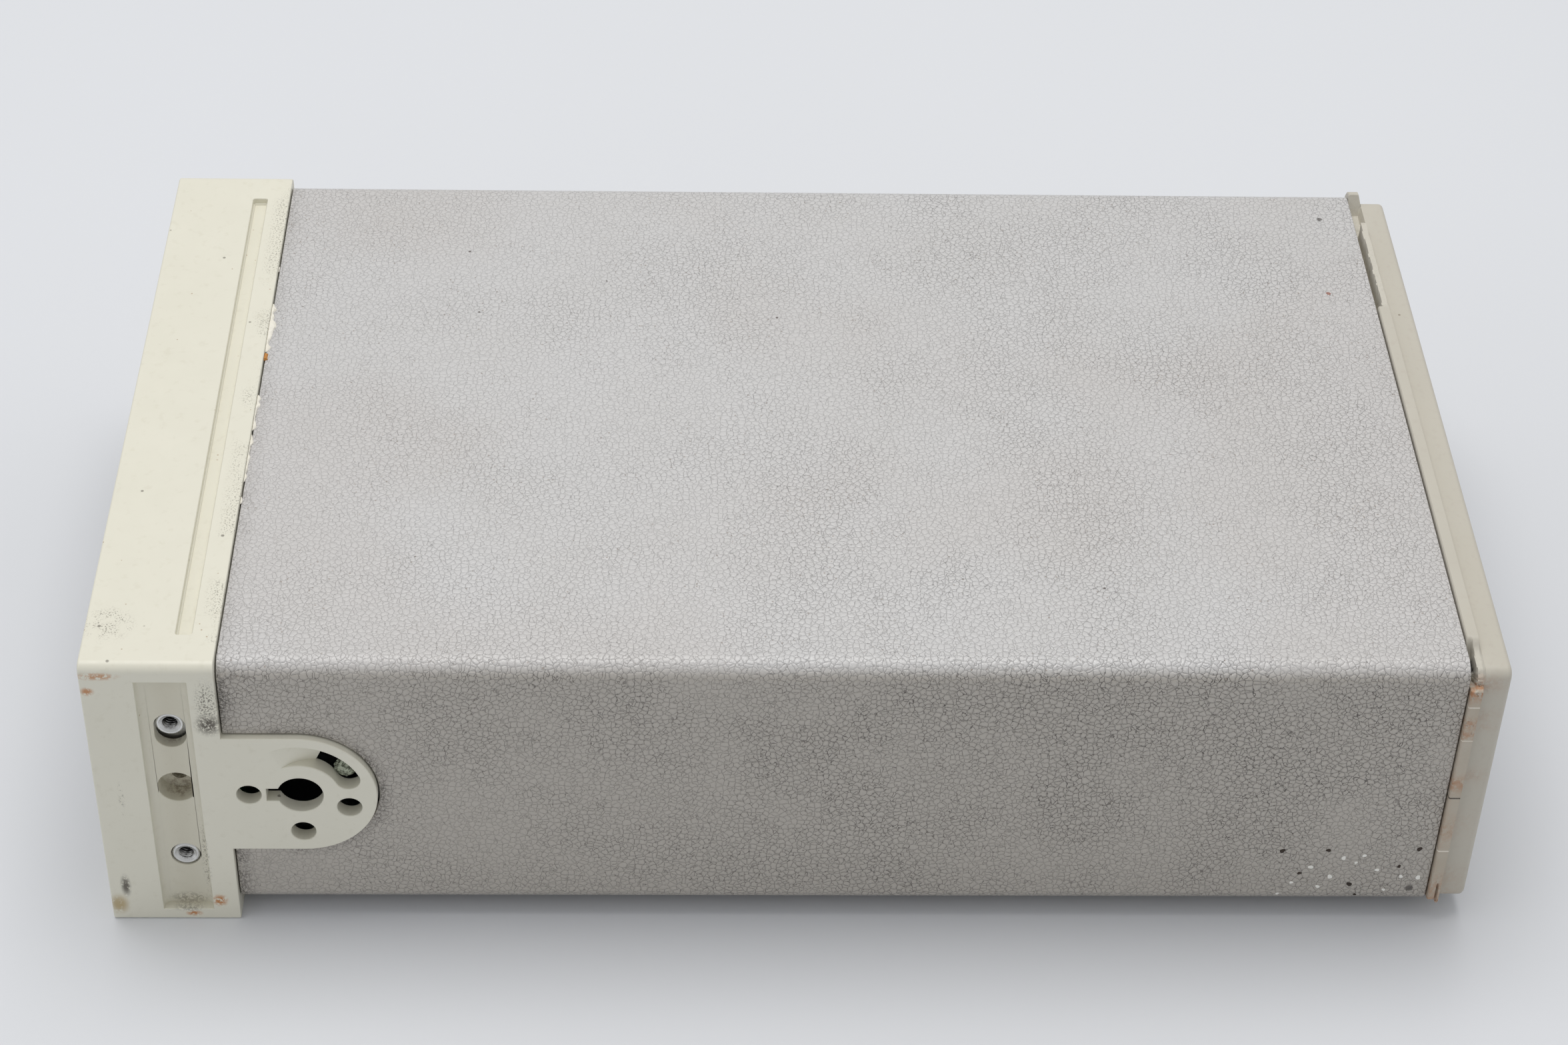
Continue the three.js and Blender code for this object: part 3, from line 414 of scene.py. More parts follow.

# %% [markdown]
# ## The finishes
# The front frame is cream moulded plastic with a satin surface, dirt in its corners and brown spots
# where hands and dust settled. The side recess is painted darker as painted shade, and its holes are
# painted darker still, as shade with brown grime. The dirt and shade masks are written in the case's own
# coordinates.

# %% Cream plastic of the front frame
def cream_plastic():
    """Satin cream plastic: fine mottling, painted shade in the recess and its holes, grime and brown spots.
    """
    f = Finish("cream_plastic", roughness=0.4, specular=0.45, coat=0.12)
    y_front = -DEPTH / 2 * MM
    tone = f.mix(f.noise(45, 4), srgb(223, 220, 204), srgb(229, 226, 211))
    tone = f.mix(f.step(f.noise(420, 3), 0.55, 0.75, 0, 0.25), tone, srgb(208, 203, 184))
    brown, smoke, rust = srgb(150, 112, 62), srgb(96, 90, 80), srgb(188, 120, 52)

    def spot(y, z, across, tall, colour, strength, grain=900.0, low=0.42):
        """A ragged stain around one place on the sides of the frame, with its own width and height."""
        nonlocal tone
        dy = f.math("DIVIDE", f.math("SUBTRACT", f.axis("Y"), y * MM + y_front), across * MM)
        dz = f.math("DIVIDE", f.math("SUBTRACT", f.axis("Z"), z * MM), tall * MM)
        away = f.math("SQRT", f.math("ADD", f.math("MULTIPLY", dy, dy), f.math("MULTIPLY", dz, dz)))
        outside = f.step(f.math("ABSOLUTE", f.axis("X")), (HALF - 3.5) * MM, (HALF - 3.0) * MM)
        mask = f.product(f.step(away, 0.2, 1.0, 1, 0), f.step(f.noise(grain, 4, 0.7), low, low + 0.14),
                         outside)
        tone = f.mix(f.product(mask, strength), tone, colour)

    spot(4.5, 85.6, 7.0, 1.6, rust, 0.75, 800)
    spot(1.8, 80.6, 2.2, 1.8, rust, 0.85, 800, 0.36)
    spot(28.1, 7.0, 2.6, 2.8, rust, 0.95, 900, 0.38)
    spot(21.0, 2.2, 2.8, 1.3, rust, 0.9, 900, 0.38)
    spot(2.0, 5.6, 3.4, 4.6, srgb(176, 152, 100), 0.8, 500, 0.34)
    spot(4.3, 12.4, 1.7, 5.0, smoke, 0.95, 1000, 0.36)
    spot(30.6, 76.5, 3.8, 10.0, smoke, 0.95, 1700, 0.47)
    spot(30.4, 69.5, 4.4, 4.6, smoke, 1.0, 1500, 0.38)
    spot(6.4, 43.5, 1.0, 7.5, smoke, 0.55, 1600, 0.5)
    spot(19.8, 5.2, 6.2, 2.8, smoke, 0.9, 1500, 0.42)
    spot(25.4, 20.0, 1.8, 18.0, smoke, 0.8, 1600, 0.5)
    spot(20.0, 40.0, 7.0, 44.0, brown, 0.4, 1800, 0.6)
    spot(33.5, 42.0, 9.0, 26.0, brown, 0.35, 1900, 0.64)
    top_smudge = f.node("ShaderNodeVectorMath",
                        {0: f.place, 1: (91.2 * MM, 5.8 * MM + y_front, HEIGHT * MM)},
                        operation="DISTANCE").outputs["Value"]
    speckle = f.step(f.noise(1900, 3, 0.7), 0.52, 0.62)
    smudge = f.product(f.step(top_smudge, 3.0 * MM, 8 * MM, 1, 0), f.step(f.noise(260, 3), 0.4, 0.58),
                       speckle)
    tone = f.mix(f.product(smudge, 0.75), tone, smoke)
    on_top = f.step(f.axis("Z"), (HEIGHT - 0.5) * MM, (HEIGHT - 0.2) * MM)
    rear_line = f.step(f.axis("Y"), y_front + (FRAME_BACK - 5.5) * MM, y_front + (FRAME_BACK - 1.5) * MM)
    patchy = f.step(f.noise(60, 3), 0.46, 0.6)
    tone = f.mix(f.product(on_top, rear_line, patchy, speckle, 0.6), tone, smoke)
    in_groove = f.product(f.near(f.axis("Y"), y_front + 24.6 * MM, 2.4 * MM), f.dots(600, 0.2, 0.12),
                          f.step(f.axis("Z"), 86 * MM, 86.5 * MM))
    tone = f.mix(f.product(in_groove, 0.4), tone, brown)
    tone = f.mix(f.product(f.dots(230, 0.13, 0.1), 0.7), tone, smoke)
    tone = f.mix(f.product(f.dots(420, 0.12, 0.08, 0.3), 0.6), tone, brown)

    depth_in = f.math("SUBTRACT", HALF * MM, f.math("ABSOLUTE", f.axis("X")))
    # painted shade: the walls and floor of the side recess are painted darker, where shade falls in it
    recess_painted_shade = f.product(f.near(f.axis("Y"), y_front + INSERT_Y * MM, 9.0 * MM),
                          f.step(depth_in, 0.5 * MM, 2.6 * MM),
                          f.step(f.axis("Z"), 87 * MM, 86 * MM))
    tone = f.mix(f.product(recess_painted_shade, 0.55), tone, srgb(196, 190, 170))
    # painted shade and grime: deeper in the recess's holes the plastic is painted brown in noisy patches, for
    # the shade inside them and for grime
    deep = f.product(f.step(depth_in, 3.4 * MM, 6.0 * MM),
                     f.near(f.axis("Y"), y_front + INSERT_Y * MM, 6.0 * MM),
                     f.step(f.axis("Z"), 85 * MM, 84 * MM))
    tone = f.mix(f.product(deep, f.step(f.noise(900, 4, 0.7), 0.42, 0.6), 0.6), tone, srgb(120, 96, 74))
    f.bump(f.noise(1500, 3, 0.6), 0.02 * MM, 0.35)
    f.bump(f.noise(70, 3), 0.12 * MM, 0.25)
    return f.done(tone, f.step(f.noise(240, 4), 0.3, 0.7, 0.36, 0.5))


CREAM = cream_plastic()
print("made", CREAM.name)

# %% [markdown]
# The sleeve wears a leather-grain coating: small many-sided pads, 1 to 2 mm across, with thin creases
# between them and pits where creases meet. The creases and pits are lower, and they are painted darker
# as painted shade. The pads are stronger towards the rear and the top of the sides, and grime gathers
# beside the frame and around the lug. The top is painted lighter and greyer than the sides, as a painted
# sheen.

# %% Leather-grain coating of the sleeve
def leather_grain():
    """Grey coating pressed with leather grain, from cell edges warped by noise, with painted shade in
    the creases and pits, and a painted sheen that lightens the top."""
    f = Finish("leather_grain", roughness=0.4, specular=0.5, coat=0.75)
    y_front = -DEPTH / 2 * MM
    wobble = f.node("ShaderNodeTexNoise",
                    {"Vector": f.place, "Scale": 700.0, "Detail": 2.0}).outputs["Color"]
    centred = f.node("ShaderNodeVectorMath", {0: wobble, 1: (0.5, 0.5, 0.5)},
                     operation="SUBTRACT").outputs[0]
    shifted = f.node("ShaderNodeVectorMath", {0: centred, 1: (1.0 * MM,) * 3},
                     operation="MULTIPLY").outputs[0]
    warped = f.node("ShaderNodeVectorMath", {0: f.place, 1: shifted}, operation="ADD").outputs[0]
    edge = f.cells(680, "DISTANCE_TO_EDGE", warped)
    dome = f.step(edge, 0.0, 0.3)
    cut = f.step(edge, 0.0, 0.045)
    fine = f.cells(1500, "DISTANCE_TO_EDGE", warped)
    broken = f.step(f.noise(750, 3, 0.6), 0.28, 0.6)
    pits = f.dots(820, 0.23, 0.55)

    on_top = f.step(f.axis("Z"), 84 * MM, 87.4 * MM)
    rearward = f.step(f.axis("Y"), y_front + 40 * MM, y_front + 260 * MM, 0.6, 1.0)
    upward = f.step(f.axis("Z"), 0.0, 70 * MM, 0.75, 1.0)
    patches = f.step(f.noise(30, 4, 0.6), 0.35, 0.65, 0.45, 1.0)
    depth = f.product(rearward, upward, patches, f.step(on_top, 0.0, 1.0, 1.0, 0.42))

    side_tone = f.mix(f.noise(22, 4), srgb(179, 173, 164), srgb(186, 180, 171))
    # painted sheen: the top gets a lighter, greyer copy of the coating's colour, standing for the lamp's
    # light reflected off it
    top_painted_sheen_tone = f.mix(f.noise(22, 4), srgb(199, 197, 195), srgb(205, 204, 204))
    tone = f.mix(on_top, side_tone, top_painted_sheen_tone)
    # painted shade: the creases between the pads are painted dark, where shade falls in them
    crease_painted_shade = f.product(f.step(edge, 0.008, 0.05, 1, 0), broken, depth)
    tone = f.mix(crease_painted_shade, tone, srgb(66, 57, 49))
    # painted shade: the pits are painted darker as well, for the shade in them
    tone = f.mix(f.product(pits, depth, 0.6), tone, srgb(76, 66, 56))
    tone = f.mix(f.product(f.dots(900, 0.3, 0.1), f.step(f.noise(60, 3), 0.42, 0.6), 0.5), tone,
                 srgb(110, 84, 58))
    tone = f.mix(f.product(f.dots(70, 0.035, 0.25, 0.7), 0.9), tone, srgb(60, 44, 36))

    soot = srgb(78, 72, 66)
    mottled = f.step(f.noise(1700, 4, 0.75), 0.42, 0.56)
    by_frame = f.product(f.step(f.axis("Y"), y_front + 33.4 * MM, y_front + 39 * MM, 1, 0),
                         f.step(on_top, 0.0, 1.0, 1.0, 0.35))
    lug_middle = (0.0, LUG_Y * MM + y_front, LUG_Z * MM)
    flat_place = f.node("ShaderNodeVectorMath", {0: f.place, 1: (0.0, 1.0, 1.0)},
                        operation="MULTIPLY").outputs[0]
    from_lug = f.node("ShaderNodeVectorMath", {0: flat_place, 1: lug_middle},
                      operation="DISTANCE").outputs["Value"]
    by_lug = f.step(from_lug, (LUG_R + 0.4) * MM, (LUG_R + 4.5) * MM, 1, 0)
    beside = f.math("MAXIMUM", by_frame, by_lug)
    tone = f.mix(f.product(beside, mottled, f.step(f.noise(90, 3), 0.38, 0.6, 0.4, 1.0), 0.9), tone, soot)

    band = f.product(on_top, f.step(f.noise(14, 3), 0.5, 0.6), f.step(f.noise(1700, 3, 0.7), 0.6, 0.68))
    tone = f.mix(f.product(band, 0.4), tone, srgb(122, 98, 74))
    faded = f.step(f.noise(9, 2), 0.45, 0.62)
    tone = f.mix(f.product(faded, on_top, 0.1), tone, srgb(176, 160, 146))

    for x, y, z, reach, colour in ((104.9, 338.0, 10.8, 1.3, srgb(60, 52, 44)),
                                   (-89.9, 332.8, 87.8, 1.0, soot),
                                   (-53.2, 330.1, 87.8, 0.9, srgb(150, 84, 58))):
        away = f.node("ShaderNodeVectorMath", {0: warped, 1: (x * MM, y * MM + y_front, z * MM)},
                      operation="DISTANCE").outputs["Value"]
        tone = f.mix(f.step(away, 0.6 * reach * MM, reach * MM, 0.85, 0), tone, colour)

    lifted = f.math("ADD", f.math("MULTIPLY", dome, 0.55), f.math("MULTIPLY", cut, 0.45))
    relief = f.math("MULTIPLY", f.math("SUBTRACT", lifted, f.math("MULTIPLY", pits, 0.7)),
                    f.step(depth, 0.0, 1.0, 0.35, 1.0))
    f.bump(f.noise(60, 3), 0.5 * MM, 0.2)
    f.bump(relief, 0.32 * MM, 1.0)
    f.bump(f.step(fine, 0.0, 0.2), 0.05 * MM, 0.5)
    f.bump(f.noise(2600, 3, 0.7), 0.03 * MM, 0.5)
    return f.done(tone, f.step(f.noise(700, 3), 0.35, 0.7, 0.36, 0.52))


LEATHER = leather_grain()
print("made", LEATHER.name)

# %% [markdown]
# The rear bezel is the same family of plastic as the frame, but yellower and dirtier. Two mesh
# attributes drive it: `fracture`, 1 where the lip broke away and the rough pale core shows, and `stain`,
# where rust-coloured dirt has run.

# %% Aged plastic of the rear bezel
def aged_plastic():
    """Yellowed satin plastic with rough pale fractures and orange-brown stains from two mesh
    attributes, and painted shade in the gap at the near top corner."""
    f = Finish("aged_plastic", roughness=0.45, specular=0.4)
    fracture = f.node("ShaderNodeAttribute", attribute_name="fracture").outputs["Fac"]
    stain = f.node("ShaderNodeAttribute", attribute_name="stain").outputs["Fac"]
    y_front = -DEPTH / 2 * MM
    tone = f.mix(f.noise(50, 4), srgb(192, 187, 174), srgb(198, 193, 181))
    tone = f.mix(f.step(f.noise(500, 4), 0.5, 0.75, 0, 0.35), tone, srgb(186, 178, 166))
    tone = f.mix(f.product(f.dots(260, 0.12, 0.1), 0.6), tone, srgb(110, 94, 74))
    side = f.step(f.axis("X"), 103.4 * MM, 104.6 * MM)
    on_band = f.product(side, f.step(f.axis("Y"), y_front + 346.8 * MM, y_front + 346.0 * MM))
    tone = f.mix(f.product(on_band, f.step(f.noise(120, 4), 0.3, 0.7, 0.4, 0.75)), tone,
                 srgb(178, 166, 148))
    tone = f.mix(f.product(fracture, f.step(f.noise(1500, 4, 0.7), 0.3, 0.55, 0.25, 0.9)), tone,
                 srgb(226, 222, 210))
    tone = f.mix(f.product(fracture, f.step(f.noise(1900, 4, 0.7), 0.6, 0.7), 0.6), tone, srgb(96, 80, 60))
    blotch = f.step(f.noise(700, 5, 0.72), 0.34, 0.6)
    tone = f.mix(f.product(stain, blotch, 0.9), tone, srgb(172, 114, 68))
    tone = f.mix(f.product(stain, f.step(f.noise(1100, 4, 0.7), 0.57, 0.68), 0.7), tone, srgb(92, 62, 40))
    for z, width, colour in ((76.6, 0.3, (236, 230, 218)), (65.2, 0.25, (230, 224, 210)),
                             (25.8, 0.35, (236, 230, 218)), (45.0, 0.4, (34, 26, 22))):
        line = f.product(f.near(f.axis("Z"), z * MM, width * MM), on_band,
                         f.step(f.noise(900, 3), 0.3, 0.5, 0.4, 1.0))
        tone = f.mix(line, tone, srgb(*colour))
    # painted shade: the gap where the lip broke away at the near top corner is painted nearly black, standing
    # for the shade inside it
    gap = f.product(f.near(f.axis("Y"), y_front + 343.4 * MM, 1.3 * MM),
                    f.step(f.axis("Z"), 82.7 * MM, 83.4 * MM),
                    f.step(f.axis("X"), 95.0 * MM, 96.5 * MM))
    tone = f.mix(f.step(gap, 0.1, 0.6), tone, srgb(46, 42, 38))
    f.bump(f.noise(1400, 3, 0.6), 0.02 * MM, 0.4)
    f.bump(f.noise(90, 3), 0.15 * MM, 0.25)
    f.bump(f.math("MULTIPLY", fracture, f.noise(2300, 4, 0.75)), 0.25 * MM, 0.9)
    rough = f.mix(fracture, (0.46,) * 3 + (1.0,), (0.85,) * 3 + (1.0,))
    return f.done(tone, rough)


AGED = aged_plastic()
print("made", AGED.name)

# %% [markdown]
# The rest are ordinary shop finishes: zinc-plated steel, aluminium, textured black paint, black
# mouldings, white switch caps, green boards, grey ribbon, rubber, and a crumbly white filler for the
# flakes in the frame joint.

# %% Metals, paints and mouldings
def metal(name, dark, light, rough_low, rough_high, scratch=(900.0, 60.0, 900.0)):
    """Plated or mill-finish metal with fine one-way scratches and dull patches."""
    f = Finish(name, metallic=1.0)
    lines = f.noise(1.0, 4, 0.65, f.stretched(*scratch))
    tone = f.mix(lines, dark, light)
    tone = f.mix(f.step(f.noise(350, 4, 0.7), 0.6, 0.75, 0, 0.5), tone, srgb(92, 84, 74))
    f.bump(lines, 0.01 * MM, 0.4)
    f.bump(f.noise(600, 3), 0.02 * MM, 0.3)
    return f.done(tone, f.step(f.noise(180, 4), 0.3, 0.7, rough_low, rough_high))


def moulded(name, base, light, roughness, texture=0.03, dusty=0.25):
    """Moulded or painted surface: fine orange-peel, slight mottling and dust."""
    f = Finish(name, roughness=roughness, specular=0.4)
    tone = f.mix(f.noise(120, 4), base, light)
    dust = f.product(f.step(f.noise(1400, 4, 0.7), 0.56, 0.7), f.step(f.noise(90, 3), 0.4, 0.65))
    tone = f.mix(f.product(dust, dusty), tone, srgb(150, 144, 132))
    f.bump(f.noise(1900, 3, 0.6), texture * MM, 0.5)
    return f.done(tone, f.step(f.noise(300, 3), 0.3, 0.7, roughness - 0.06, roughness + 0.08))


STEEL = metal("zinc_plate", srgb(172, 173, 172), srgb(214, 214, 212), 0.26, 0.42)
NICKEL = metal("bright_nickel", srgb(190, 190, 188), srgb(226, 225, 222), 0.16, 0.3)
ALUMINIUM = metal("mill_aluminium", srgb(168, 170, 172), srgb(196, 198, 200), 0.34, 0.5,
                  (60.0, 1200.0, 1200.0))
BRASS = metal("gold_contacts", srgb(186, 148, 74), srgb(222, 186, 108), 0.22, 0.36)
DARK_PAINT = moulded("textured_black_paint", srgb(48, 49, 53), srgb(58, 59, 63), 0.5, 0.09)
BLACK = moulded("black_moulding", srgb(24, 25, 27), srgb(33, 34, 37), 0.4)
SOCKET = moulded("glass_filled_black", srgb(28, 29, 32), srgb(38, 39, 43), 0.42)
CAP_WHITE = moulded("switch_white", srgb(226, 224, 214), srgb(236, 234, 226), 0.42, dusty=0.4)
BOARD = moulded("green_solder_mask", srgb(36, 84, 54), srgb(46, 98, 64), 0.34, 0.015)
RIBBON = moulded("grey_ribbon", srgb(132, 135, 141), srgb(146, 149, 155), 0.55)
RUBBER = moulded("foot_rubber", srgb(30, 30, 32), srgb(40, 40, 42), 0.82, 0.05, 0.5)
INK = moulded("printed_white", srgb(222, 222, 216), srgb(232, 232, 228), 0.55, 0.01, 0.1)
FILLER = moulded("crumbled_filler", srgb(228, 222, 206), srgb(246, 243, 234), 0.85, 0.12, 0.5)
print("made", len(bpy.data.materials), "materials")

# %% [markdown]
# ## The floor
# A pale floor with a faint texture, far larger than the view.

# %% Floor
def floor_material():
    """Pale matte paper with a barely visible unevenness."""
    f = Finish("pale_floor", roughness=0.75, specular=0.25)
    tone = f.mix(f.noise(3.0, 4), srgb(221, 223, 227), srgb(225, 227, 231))
    f.bump(f.noise(700, 3), 0.05 * MM, 0.3)
    return f.done(tone)


floor_mesh = bpy.data.meshes.new("floor")
floor_mesh.from_pydata([(x, y, 0.0) for x, y in ((-4, -4), (4, -4), (4, 4), (-4, 4))], [], [(0, 1, 2, 3)])
floor_mesh.materials.append(floor_material())
floor = bpy.data.objects.new("floor", floor_mesh)
scene.collection.objects.link(floor)

# %% [markdown]
# ## The front frame
# The frame is one moulding: a deep bezel with a window, a rim behind it, and a handle lug flush with
# each side. Every edge is rounded. Each opening starts with a small rounding: rows of the same outline,
# drawn a little smaller and a little deeper, following a quarter circle. `depth` is measured in from the
# side of the case.

# %% Outlines on the side of the frame
PIVOT_R, KEY_REACH, KEY_HALF = 5.8, 8.5, 2.1
SLOT_ORBIT, SLOT_HALF, SLOT_SHALLOW, SLOT_THROUGH, SLOT_DEEP = 13.3, 3.1, 115.0, 63.0, 23.0
SLOT_POINTS = 25
INDEX_R, INDEX_ORBIT = 3.15, 12.9
INDEX_PLACES = [(LUG_Y + INDEX_ORBIT * math.cos(math.radians(a)),
                 LUG_Z + INDEX_ORBIT * math.sin(math.radians(a)))
                for a in (180.0, 270.0, 340.6)]
WINDOW = (97.5, 8.0, 80.9, 1.5)
RECESS = dict(y0=13.3, y1=26.2, z0=3.7, z1=83.6, depth=2.8, cove=2.0)
SIDE_WALL, TOP_WALL = 5.8, 4.2


def keyed_circle(grow):
    """The lug's pivot hole with its square keyway towards the front, grown outwards."""
    radius, half = PIVOT_R + grow, KEY_HALF + grow
    open_angle = math.degrees(math.asin(half / radius))
    turn = arc(-180 + open_angle, 180 - open_angle, 40)
    ring = np.stack([LUG_Y + radius * np.cos(turn), LUG_Z + radius * np.sin(turn)], -1)
    key = np.array([[LUG_Y - KEY_REACH - grow, LUG_Z + half], [LUG_Y - KEY_REACH - grow, LUG_Z - half]])
    return np.concatenate([ring, key])


def slot_fall(angle):
    """Depth of the arc slot's floor: none at its shallow end, the lug's whole thickness where it breaks
    through."""
    return LUG_THICK * np.clip((SLOT_SHALLOW - angle) / (SLOT_SHALLOW - SLOT_THROUGH), 0, 1)


def arc_slot(level):
    """The arc slot's outline at one level of its wall, from the mouth (0) to the rounding's end (1) and
    the floor (2). The rounding shrinks to nothing at the shallow end, where the floor meets the face."""
    outer = np.linspace(SLOT_SHALLOW, SLOT_DEEP, SLOT_POINTS)
    inner = outer[::-1]
    cap = arc(SLOT_DEEP, SLOT_DEEP - 180, 12)
    angles = np.concatenate([outer, np.full(len(cap) - 2, SLOT_DEEP), inner])
    total = slot_fall(angles)
    edge = np.minimum(EDGE, 0.5 * total)
    turn = min(level, 1.0) * math.pi / 2
    grow = edge * (1 - math.sin(turn))
    depth = edge * (1 - math.cos(turn)) if level <= 1 else total
    rows = []
    for band, sign in ((outer, 1), (inner, -1)):
        where = slice(0, len(outer)) if sign > 0 else slice(len(angles) - len(inner), None)
        radius = SLOT_ORBIT + sign * (SLOT_HALF + grow[where])
        rows.append(np.stack([LUG_Y + radius * np.cos(np.radians(band)),
                              LUG_Z + radius * np.sin(np.radians(band))], -1))
    end = np.array([LUG_Y + SLOT_ORBIT * math.cos(math.radians(SLOT_DEEP)),
                    LUG_Z + SLOT_ORBIT * math.sin(math.radians(SLOT_DEEP))])
    reach = SLOT_HALF + grow[len(outer)]
    round_end = end + reach * np.stack([np.cos(cap[1:-1]), np.sin(cap[1:-1])], -1)
    return np.concatenate([rows[0], round_end, rows[1]]), np.broadcast_to(depth, angles.shape)


def lug_path(inset, corner=True):
    """From the frame's back edge over the lug's round end and back, top to bottom, moved inwards by
    inset."""
    turn = arc(90, -90, 40)
    start = FRAME_BACK - (inset if corner else 0.0)
    ring = np.stack([LUG_Y + (LUG_R - inset) * np.cos(turn), LUG_Z + (LUG_R - inset) * np.sin(turn)], -1)
    return np.concatenate([[[start, LUG_HIGH - inset]], ring, [[start, LUG_LOW + inset]]])


def obround(grow):
    """The upper insert's upright slot with round ends."""
    lower, upper = 63.2, UPPER_INSERT_Z
    radius = 3.9 + grow
    low_turn, high_turn = arc(180, 360, 20), arc(0, 180, 20)
    low = np.stack([INSERT_Y + radius * np.cos(low_turn), lower + radius * np.sin(low_turn)], -1)
    high = np.stack([INSERT_Y + radius * np.cos(high_turn), upper + radius * np.sin(high_turn)], -1)
    return np.concatenate([low, high])


print("arc slot outline has", len(arc_slot(0)[0]), "points")

# %% The frame's own shell
def side_stack(shell, side, outline, levels):
    """Rows of an outline at (grow, depth) levels on one side of the case, joined as the wall of an
    opening."""
    rows = [at_x(outline(grow), side * (HALF - depth)) for grow, depth in levels]
    shell.grid(np.stack(rows), wrap=True)
    return rows[0], rows[-1]


def mouth(edge, base=0.0, steps=4):
    """(grow, depth) of a rounded mouth, from the face down to the wall."""
    return [(out, base + down) for down, out in rounding(edge, steps)]


def frame_side(shell, side):
    """One side of the frame: face, recess with its holes, lug with its holes, and the wall inside."""
    holes, inner_holes = [], []
    for outline in (keyed_circle, *(lambda grow, c=c: circle(c, INDEX_R + grow, 32) for c in INDEX_PLACES)):
        through = mouth(EDGE) + [(0.0, LUG_THICK - 0.2), (0.2, LUG_THICK)]
        first, last = side_stack(shell, side, outline, through)
        holes.append(first)
        inner_holes.append(last)

    slot_rows = []
    for level in (0, 0.33, 0.67, 1.0, 2.0):
        outline, depth = arc_slot(level)
        slot_rows.append(np.stack([side * (HALF - depth), outline[:, 0], outline[:, 1]], -1))
    shell.grid(np.stack(slot_rows), wrap=True)
    holes.append(slot_rows[0])
    floor_row = slot_rows[-1]
    places = np.linspace(SLOT_SHALLOW, SLOT_DEEP, SLOT_POINTS)
    ramp = np.flatnonzero(places >= SLOT_THROUGH - 1e-6)
    shell.grid(np.stack([floor_row[ramp], floor_row[::-1][ramp]]))
    first_through = len(ramp) - 1
    inner_holes.append(floor_row[first_through:len(floor_row) - first_through])

    r = RECESS

    def recess_loop(cove, grow):
        return np.array([[r["y1"] - cove + grow, r["z0"] - grow], [r["y1"] - cove + grow, r["z1"] + grow],
                         [r["y0"] + cove - grow, r["z1"] + grow], [r["y0"] + cove - grow, r["z0"] - grow]])

    rows = [at_x(recess_loop(0.0, grow), side * (HALF - depth)) for grow, depth in mouth(0.3)]
    wall = r["depth"] - r["cove"]
    for turn in arc(0, 90, 6):
        rows.append(at_x(recess_loop(r["cove"] * (1 - math.cos(turn)), 0.0),
                         side * (HALF - wall - r["cove"] * math.sin(turn))))
    shell.grid(np.stack(rows), wrap=True)
    holes.append(rows[0])
    recess_floor = rows[-1]

    wall_in = HALF - SIDE_WALL
    floor_depth, wall_depth = r["depth"], SIDE_WALL

    def lower_hole(grow):
        return circle((INSERT_Y, LOWER_INSERT_Z), 3.85 + grow, 40)

    bore_a, bore_b = (side_stack(shell, side, outline, mouth(0.25, floor_depth) + [(0.0, wall_depth)])
                      for outline in (obround, lower_hole))
    bottom = floor_depth + 5.3
    profile = [(4.9 + out, floor_depth + down) for down, out in rounding(0.3)]
    profile += [(4.9, bottom), (2.0, bottom), (2.0, bottom + 2.0), (7.0, bottom + 2.0), (7.0, wall_depth)]
    stack = np.stack([at_x(circle((INSERT_Y, COUNTER_Z), radius, 48), side * (HALF - depth))
                      for radius, depth in profile])
    shell.grid(stack, wrap=True)
    shell.fill(recess_floor, bore_a[0], bore_b[0], stack[0])

    face = lug_path(EDGE)
    corners = [[FRAME_BACK - EDGE, FRAME_LOW_R], [0.6, FRAME_LOW_R], [0.6, HEIGHT - FRAME_TOP_R],
               [FRAME_BACK - EDGE, HEIGHT - FRAME_TOP_R]]
    shell.fill(at_x(np.concatenate([face, corners]), side * HALF), *holes)

    rim = [(out, down, True) for down, out in rounding(EDGE)]
    rim.append((0.0, LUG_THICK - EDGE, False))
    rim += [(EDGE * (1 - math.cos(t)), LUG_THICK - EDGE * (1 - math.sin(t)), False)
            for t in arc(0, 90, 4)[1:]]
    rim_rows = [at_x(lug_path(inset, corner), side * (HALF - depth)) for inset, depth, corner in rim]
    shell.grid(np.stack(rim_rows))
    shell.fill(rim_rows[-1], *inner_holes)

    cavity = at_x(np.array([[PANEL_Y - 0.3, TOP_WALL], [FRAME_BACK, TOP_WALL],
                            [FRAME_BACK, HEIGHT - TOP_WALL], [PANEL_Y - 0.3, HEIGHT - TOP_WALL]]),
                  side * wall_in)
    shell.fill(cavity, bore_a[1], bore_b[1], stack[-1])
    return [row[0] for row in rim_rows[4:]], [row[-1] for row in rim_rows[4:]]


def frame_path(inset, upper, depth=None):
    """Half of the frame's outline seen from the front, between the lugs: over the top, or under the
    bottom."""
    out = HALF - (inset if depth is None else depth)
    drop = inset if depth is None else depth
    if upper:
        radius, middle = FRAME_TOP_R, HEIGHT - FRAME_TOP_R
        right, left = arc(0, 90, 8), arc(90, 180, 8)
        start = LUG_HIGH
    else:
        radius, middle = FRAME_LOW_R, FRAME_LOW_R
        right, left = arc(0, -90, 8), arc(-90, -180, 8)
        start = LUG_LOW
    corner_x = HALF - radius
    lines = [[out, start]]
    for turn, side in ((right, 1), (left, -1)):
        lines += [[side * corner_x + (radius - drop) * math.cos(t), middle + (radius - drop) * math.sin(t)]
                  for t in turn]
    return np.array(lines + [[-out, start]])


